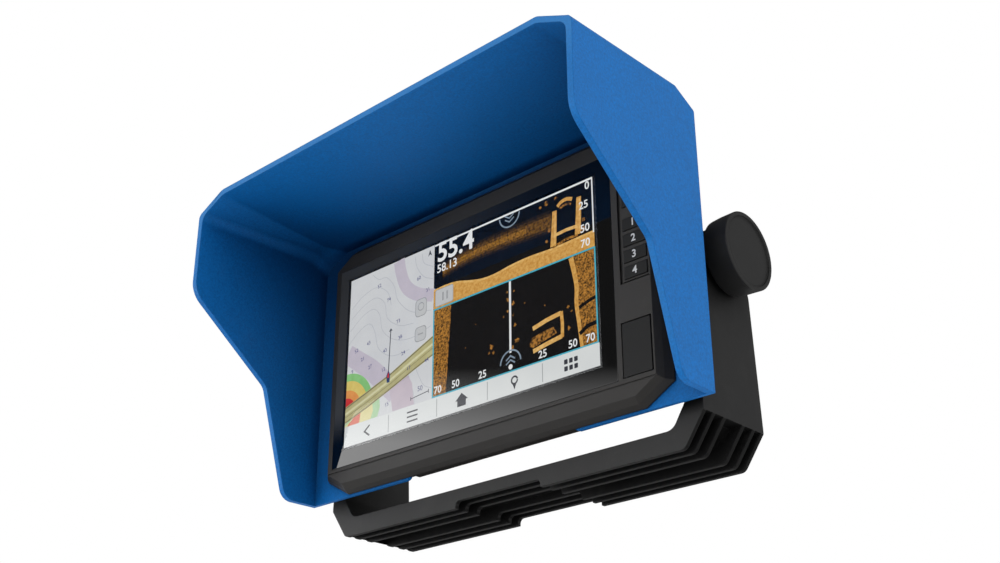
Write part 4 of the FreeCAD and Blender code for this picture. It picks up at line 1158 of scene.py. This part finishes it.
def draw_upper_sonar():
    block(SONAR_LEFT, 0, PICTURE_WIDTH, 42.8, "black", 0)
    for i, (start, end, colour, count) in enumerate(CLOUD_BANDS):
        band = [(u, v, start + (end - start) * k / 5.0)
                for k, (u, v) in enumerate(CLOUD[:count])]
        upper = smooth_path([(u, v - half) for u, v, half in band])
        lower = smooth_path([(u, v + half * 0.9) for u, v, half in band])
        patch(upper + list(reversed(lower)), colour, 0.5 + i * 0.5)
    edge = smooth_path(BOTTOM_EDGE)
    patch(edge + [(196, 42.4), (74.8, 42.4)], "amber", 3)
    stroke(edge, 1.3, "amber_pale", 4)

    # two uprights at the right, with cross lines and a crown
    for u, v0, v1 in ((168.0, 11.5, 33.0), (185.4, 9.0, 31.5)):
        stroke(((u + 0.8, v0), (u + 0.2, (v0 + v1) / 2), (u - 0.6, v1)), 3.2, "amber", 4,
               taper=4.2)
        stroke(((u + 1.3, v0 + 1.0), (u + 0.6, v1 - 1.5)), 0.9, "amber_pale", 5)
    stroke(((168, 26.6), (177, 26.0), (185, 26.4)), 2.0, "amber_pale", 5)
    stroke(((167, 33.4), (177, 31.6), (185, 31.8)), 1.6, "amber_dim", 4)
    stroke(((171.0, 9.6), (173.5, 7.8), (177.5, 7.2), (181.5, 8.6)), 2.2, "amber", 4, curve=True)
    stroke(((172.6, 11.2), (177.0, 10.2), (180.6, 11.4)), 1.3, "amber_dim", 4, curve=True)
    for u, v, radius in UPPER_SPECKS:
        patch(arc(u, v, radius, 0, 340, 9), "amber_dim", 4)

    # frame, half ring with chevrons, readings and a button with two bars
    stroke(((75.2, 0.9), (195.6, 0.9)), 1.15, "white", 6)
    stroke(((195.6, 0.4), (195.6, 34.0)), 0.9, "white", 6)
    stroke(arc(135.3, 1.6, 7.6, 4, 176), 0.9, "steel", 7)
    for v in (1.6, 4.0):
        stroke(((131.9, v), (135.3, v + 2.2), (138.7, v)), 0.8, "steel", 7)
    for text, u, v, size, bold in READINGS:
        digits(text, u, v, size, "white", 8, bold)
    block(76.2, 30.6, 91.0, 41.6, "button_line", 8, 1.2)
    block(76.6, 31.0, 90.6, 41.2, "button", 9, 1.0)
    for u in (82.0, 85.4):
        block(u, 33.4, u + 1.2, 38.8, "button_line", 10, 0.4)


# --- lower sonar view: u, v, radius of the ragged specks
LOWER_SPECKS = (
    (133.8, 54.4, 1.7), (137.6, 57.6, 1.4), (133.2, 61.2, 1.1), (137.8, 64.6, 1.0),
    (138.8, 71.0, 1.2), (139.8, 80.6, 2.0), (137.0, 84.0, 1.4), (130.2, 63.8, 0.9),
    (121.0, 79.0, 1.8), (122.6, 83.0, 1.1), (119.4, 82.4, 0.9), (176.6, 71.6, 1.2),
    (178.8, 75.0, 0.8), (176.8, 84.0, 1.3), (133.0, 49.6, 0.9), (138.2, 50.4, 0.8),
    (146.0, 60.0, 0.6), (160.5, 66.0, 0.5), (109.0, 62.0, 0.5), (101.0, 74.0, 0.45),
)


def ragged(u, v, radius):
    return [(u + radius * math.cos(a) * (0.75 + 0.35 * math.sin(3.1 * a + u)),
             v + radius * math.sin(a) * (0.75 + 0.35 * math.cos(2.3 * a + v)))
            for a in [i * math.pi * 2 / 13 for i in range(13)]]


def draw_lower_sonar():
    block(SONAR_LEFT, SONAR_SPLIT, PICTURE_WIDTH, VIEW_BOTTOM, "black2", 0)

    # grainy banks down both sides
    patch([(75.4, 43.6), (89.0, 43.2), (88.6, 56), (87.4, 70), (86.6, 84), (85.6, 97.2),
           (75.4, 97.2)], "amber_grain", 2)
    stroke(((88.9, 43.4), (88.4, 56), (87.2, 70), (86.4, 84), (85.4, 97)), 0.8, "amber_dim", 3)
    bank = smooth_path([(178.4, 43.6), (180.2, 52), (181.6, 62), (181.2, 72), (182.6, 84),
                        (184.2, 97.2)])
    patch(bank + [(195.6, 97.2), (195.6, 43.6)], "amber_grain", 2)
    stroke(((179.4, 43.8), (181.2, 52), (182.8, 62), (182.4, 72), (183.8, 84), (185.2, 97)),
           3.2, "amber", 3, curve=True, taper=2.2)
    stroke(((184, 74.6), (189, 73.0), (195.4, 71.6)), 2.0, "black", 4, curve=True)
    stroke(((184, 89.6), (189, 86.8), (195.4, 86.0)), 2.4, "black2", 4, curve=True)

    # open box shape at the lower right, and specks
    stroke(((151.6, 77.2), (161.5, 75.0), (171.6, 73.8)), 2.6, "amber_pale", 3)
    stroke(((171.8, 73.0), (172.4, 80.0), (172.2, 88.0)), 2.2, "amber", 4)
    stroke(((172.0, 87.2), (162.0, 88.6), (151.6, 90.4)), 2.6, "amber_pale", 3)
    patch([(149, 86.8), (150.4, 82.6), (158, 81.0), (166, 80.2), (168.6, 84.4), (160, 86.4),
           (152, 88.4)], "amber_dim", 3)
    for speck in LOWER_SPECKS:
        patch(ragged(*speck), "amber_dim", 3)

    # centre line, cyan frame, half ring with chevrons and dot, scale
    stroke(((135.3, 43.6), (135.3, 86.6)), 1.5, "white", 6)
    for v in (43.0, 97.5):
        stroke(((75.0, v), (195.9, v)), 0.95, "cyan", 7)
    for u in (75.2, 195.9):
        stroke(((u, 42.7), (u, 97.8)), 0.95, "cyan", 8)
    stroke(arc(135.3, 92.6, 7.4, 182, 358), 0.9, "steel", 7)
    for v in (88.4, 90.8):
        stroke(((132.0, v + 2.2), (135.3, v), (138.6, v + 2.2)), 0.85, "steel", 8)
    patch(arc(135.3, 94.8, 1.5, 0, 350, 14), "white", 8)
    for text, u in (("70", 79.4), ("50", 93.6), ("25", 114.4),
                    ("25", 158.4), ("50", 179.2), ("70", 191.0)):
        digits(text, u, 93.8, 6.2, "white", 9, 0.1)


def draw_soft_keys():
    """Bar with five keys: chevron, three lines, house, pin and grid."""
    block(0, 97.9, PICTURE_WIDTH, PICTURE_HEIGHT, "bar", 10)
    for u in (39.0, 78.9, 118.1, 158.0):
        stroke(((u, 99.0), (u, 109.6)), 0.4, "bar_line", 11)
    stroke(((22.6, 101.2), (18.2, 104.4), (22.6, 107.6)), 1.1, "key_ink", 11)
    for v in (101.6, 104.4, 107.2):
        stroke(((54.6, v), (63.4, v)), 0.9, "key_ink", 11)
    patch([(93.6, 104.6), (98.5, 100.4), (103.4, 104.6), (101.8, 104.6), (101.8, 108.2),
           (95.2, 108.2), (95.2, 104.6)], "key_ink", 11)
    stroke(arc(138.1, 103.2, 2.1, 0, 352), 1.0, "key_ink", 11)
    patch([(136.6, 104.9), (139.6, 104.9), (138.1, 108.6)], "key_ink", 12)
    for i in range(3):
        for j in range(2):
            block(173.0 + i * 3.4, 101.2 + j * 3.9, 175.4 + i * 3.4, 103.9 + j * 3.9,
                  "key_ink", 11, 0.4)


draw_chart()
draw_upper_sonar()
draw_lower_sonar()
draw_soft_keys()
picture = from_bm("screen_picture", canvas, lit_mats, smooth=30.0)
finish_piece(picture, "display", "lcd_cell")


# =====================================================================================
# digits on the number keys and a plain power sign
# =====================================================================================
def key_print(node, build):
    """Print on a key's front; build gets the bmesh, the front's centre x and z, and its y."""
    lo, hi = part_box(node)
    bm = bmesh.new()
    build(bm, (lo.x + hi.x) / 2, (lo.z + hi.z) / 2, lo.y)
    ob = from_bm(node + "_print", bm, MATERIALS["print"], smooth=30.0)
    finish_piece(ob, NODES[node]["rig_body"], "key_plastic")


def numeral(text):
    shift = 0.0006      # to the left of the key's centre

    def build(bm, cx, cz, y):
        glyph = text_bm(text, 0.0059, 0.00012, resolution=6, merge=1e-6, depth=0.00009)
        placed = {v.index: bm.verts.new((cx - shift + v.co.x, y - v.co.z, cz + v.co.y))
                  for v in glyph.verts}
        for face in glyph.faces:
            bm.faces.new([placed[v.index] for v in face.verts])
        glyph.free()
    return build


def power_sign(bm, cx, cz, y):
    """Ring open at the top, with an upright bar in the gap."""
    radius, half_line = 0.0021, 0.00026
    bar_foot, bar_top = 0.0006, 0.0027
    angles = [math.radians(28 + 304 * i / 30) for i in range(31)]
    outer, inner = ([(cx + r * math.sin(a), cz + r * math.cos(a)) for a in angles]
                    for r in (radius + half_line, radius - half_line))
    bar = rect(cx - half_line, cz + bar_foot, cx + half_line, cz + bar_top)
    for outline in (outer + list(reversed(inner)), bar):
        prism(bm, outline, y - 0.00005, y + 0.00004, "y")


for number in "1234":
    key_print("key_" + number, numeral(number))
key_print("key_power", power_sign)


# =====================================================================================
# stage: floor, light, camera
# =====================================================================================
def floor_mat():
    m = Mat("mat_floor")
    colour = m.mix(m.remap(m.noise(scale=3.0, detail=4.0, rough=0.6)), grey(0.86), grey(0.90))
    return m.done(m.principled(Base_Color=colour, Roughness=0.8))


def make_floor():
    bm = bmesh.new()
    prism(bm, rect(-6, -6, 6, 6), -1.32, -1.30, "z")
    from_bm("studio_floor", bm, floor_mat())


def make_world():
    """White to the camera, even for diffuse light, shaped for reflections."""
    world = bpy.data.worlds.new("studio")
    scene.world = world
    world.use_nodes = True
    w = Nodes(world.node_tree)
    x, y, z = w.split(w.node("ShaderNodeTexCoord").outputs["Generated"])

    # soft light from the front left, up to about 18 degrees above the horizon
    towards = w.plus(w.times(x, -0.64), w.times(y, -0.77))
    front_left = w.remap(towards, over=(0.2, 0.75))
    band = w.remap(z, over=(0.310, 0.365), to=(1.0, 0.0))
    low = w.remap(z, over=(-0.5, 0.1), to=(0.35, 1.0))
    soft = w.times(w.times(front_left, band), low)
    right = w.remap(x, over=(0.2, 0.7))

    # strengths: soft light, base level and light from the right
    gloss = w.plus(w.plus(w.times(soft, 4.0), 0.12), w.times(right, 0.75))
    even = w.remap(z, over=(-1.0, 1.0), to=(0.95, 0.95))
    fill = w.plus(even, w.times(right, 0.12))

    rays = w.node("ShaderNodeLightPath").outputs
    for_camera, for_gloss, for_diffuse = (
        w.node("ShaderNodeBackground", {0: grey(1.0), 1: strength}).outputs[0]
        for strength in (1.0, gloss, fill))
    unseen = w.mix_shader(rays["Is Glossy Ray"], for_diffuse, for_gloss)
    shader = w.mix_shader(rays["Is Camera Ray"], unseen, for_camera)
    w.node("ShaderNodeOutputWorld", {"Surface": shader})


def make_camera():
    """In front, to the right and below, looking up and back to the left."""
    camera = bpy.data.cameras.new("camera")
    camera.sensor_width = 36.0
    camera.lens = 46.117548
    camera.shift_x = -0.035588
    camera.shift_y = 0.034508
    camera.clip_start = 0.02
    camera.clip_end = 60.0
    ob = bpy.data.objects.new("camera", camera)
    scene.collection.objects.link(ob)
    right = (0.752353584, 0.658577550, -0.015482079)
    up = (0.275836459, -0.293596859, 0.915267793)
    back = (0.598229331, -0.692875526, -0.402548349)
    place = (0.45769686, -0.52263689 + TILT_AXIS_Y * MM, -0.18923659)
    ob.matrix_world = Matrix((*zip(right, up, back, place), (0, 0, 0, 1)))
    scene.camera = ob


make_floor()
make_world()
make_camera()
scene.view_settings.view_transform = "Standard"
scene.view_settings.look = "None"
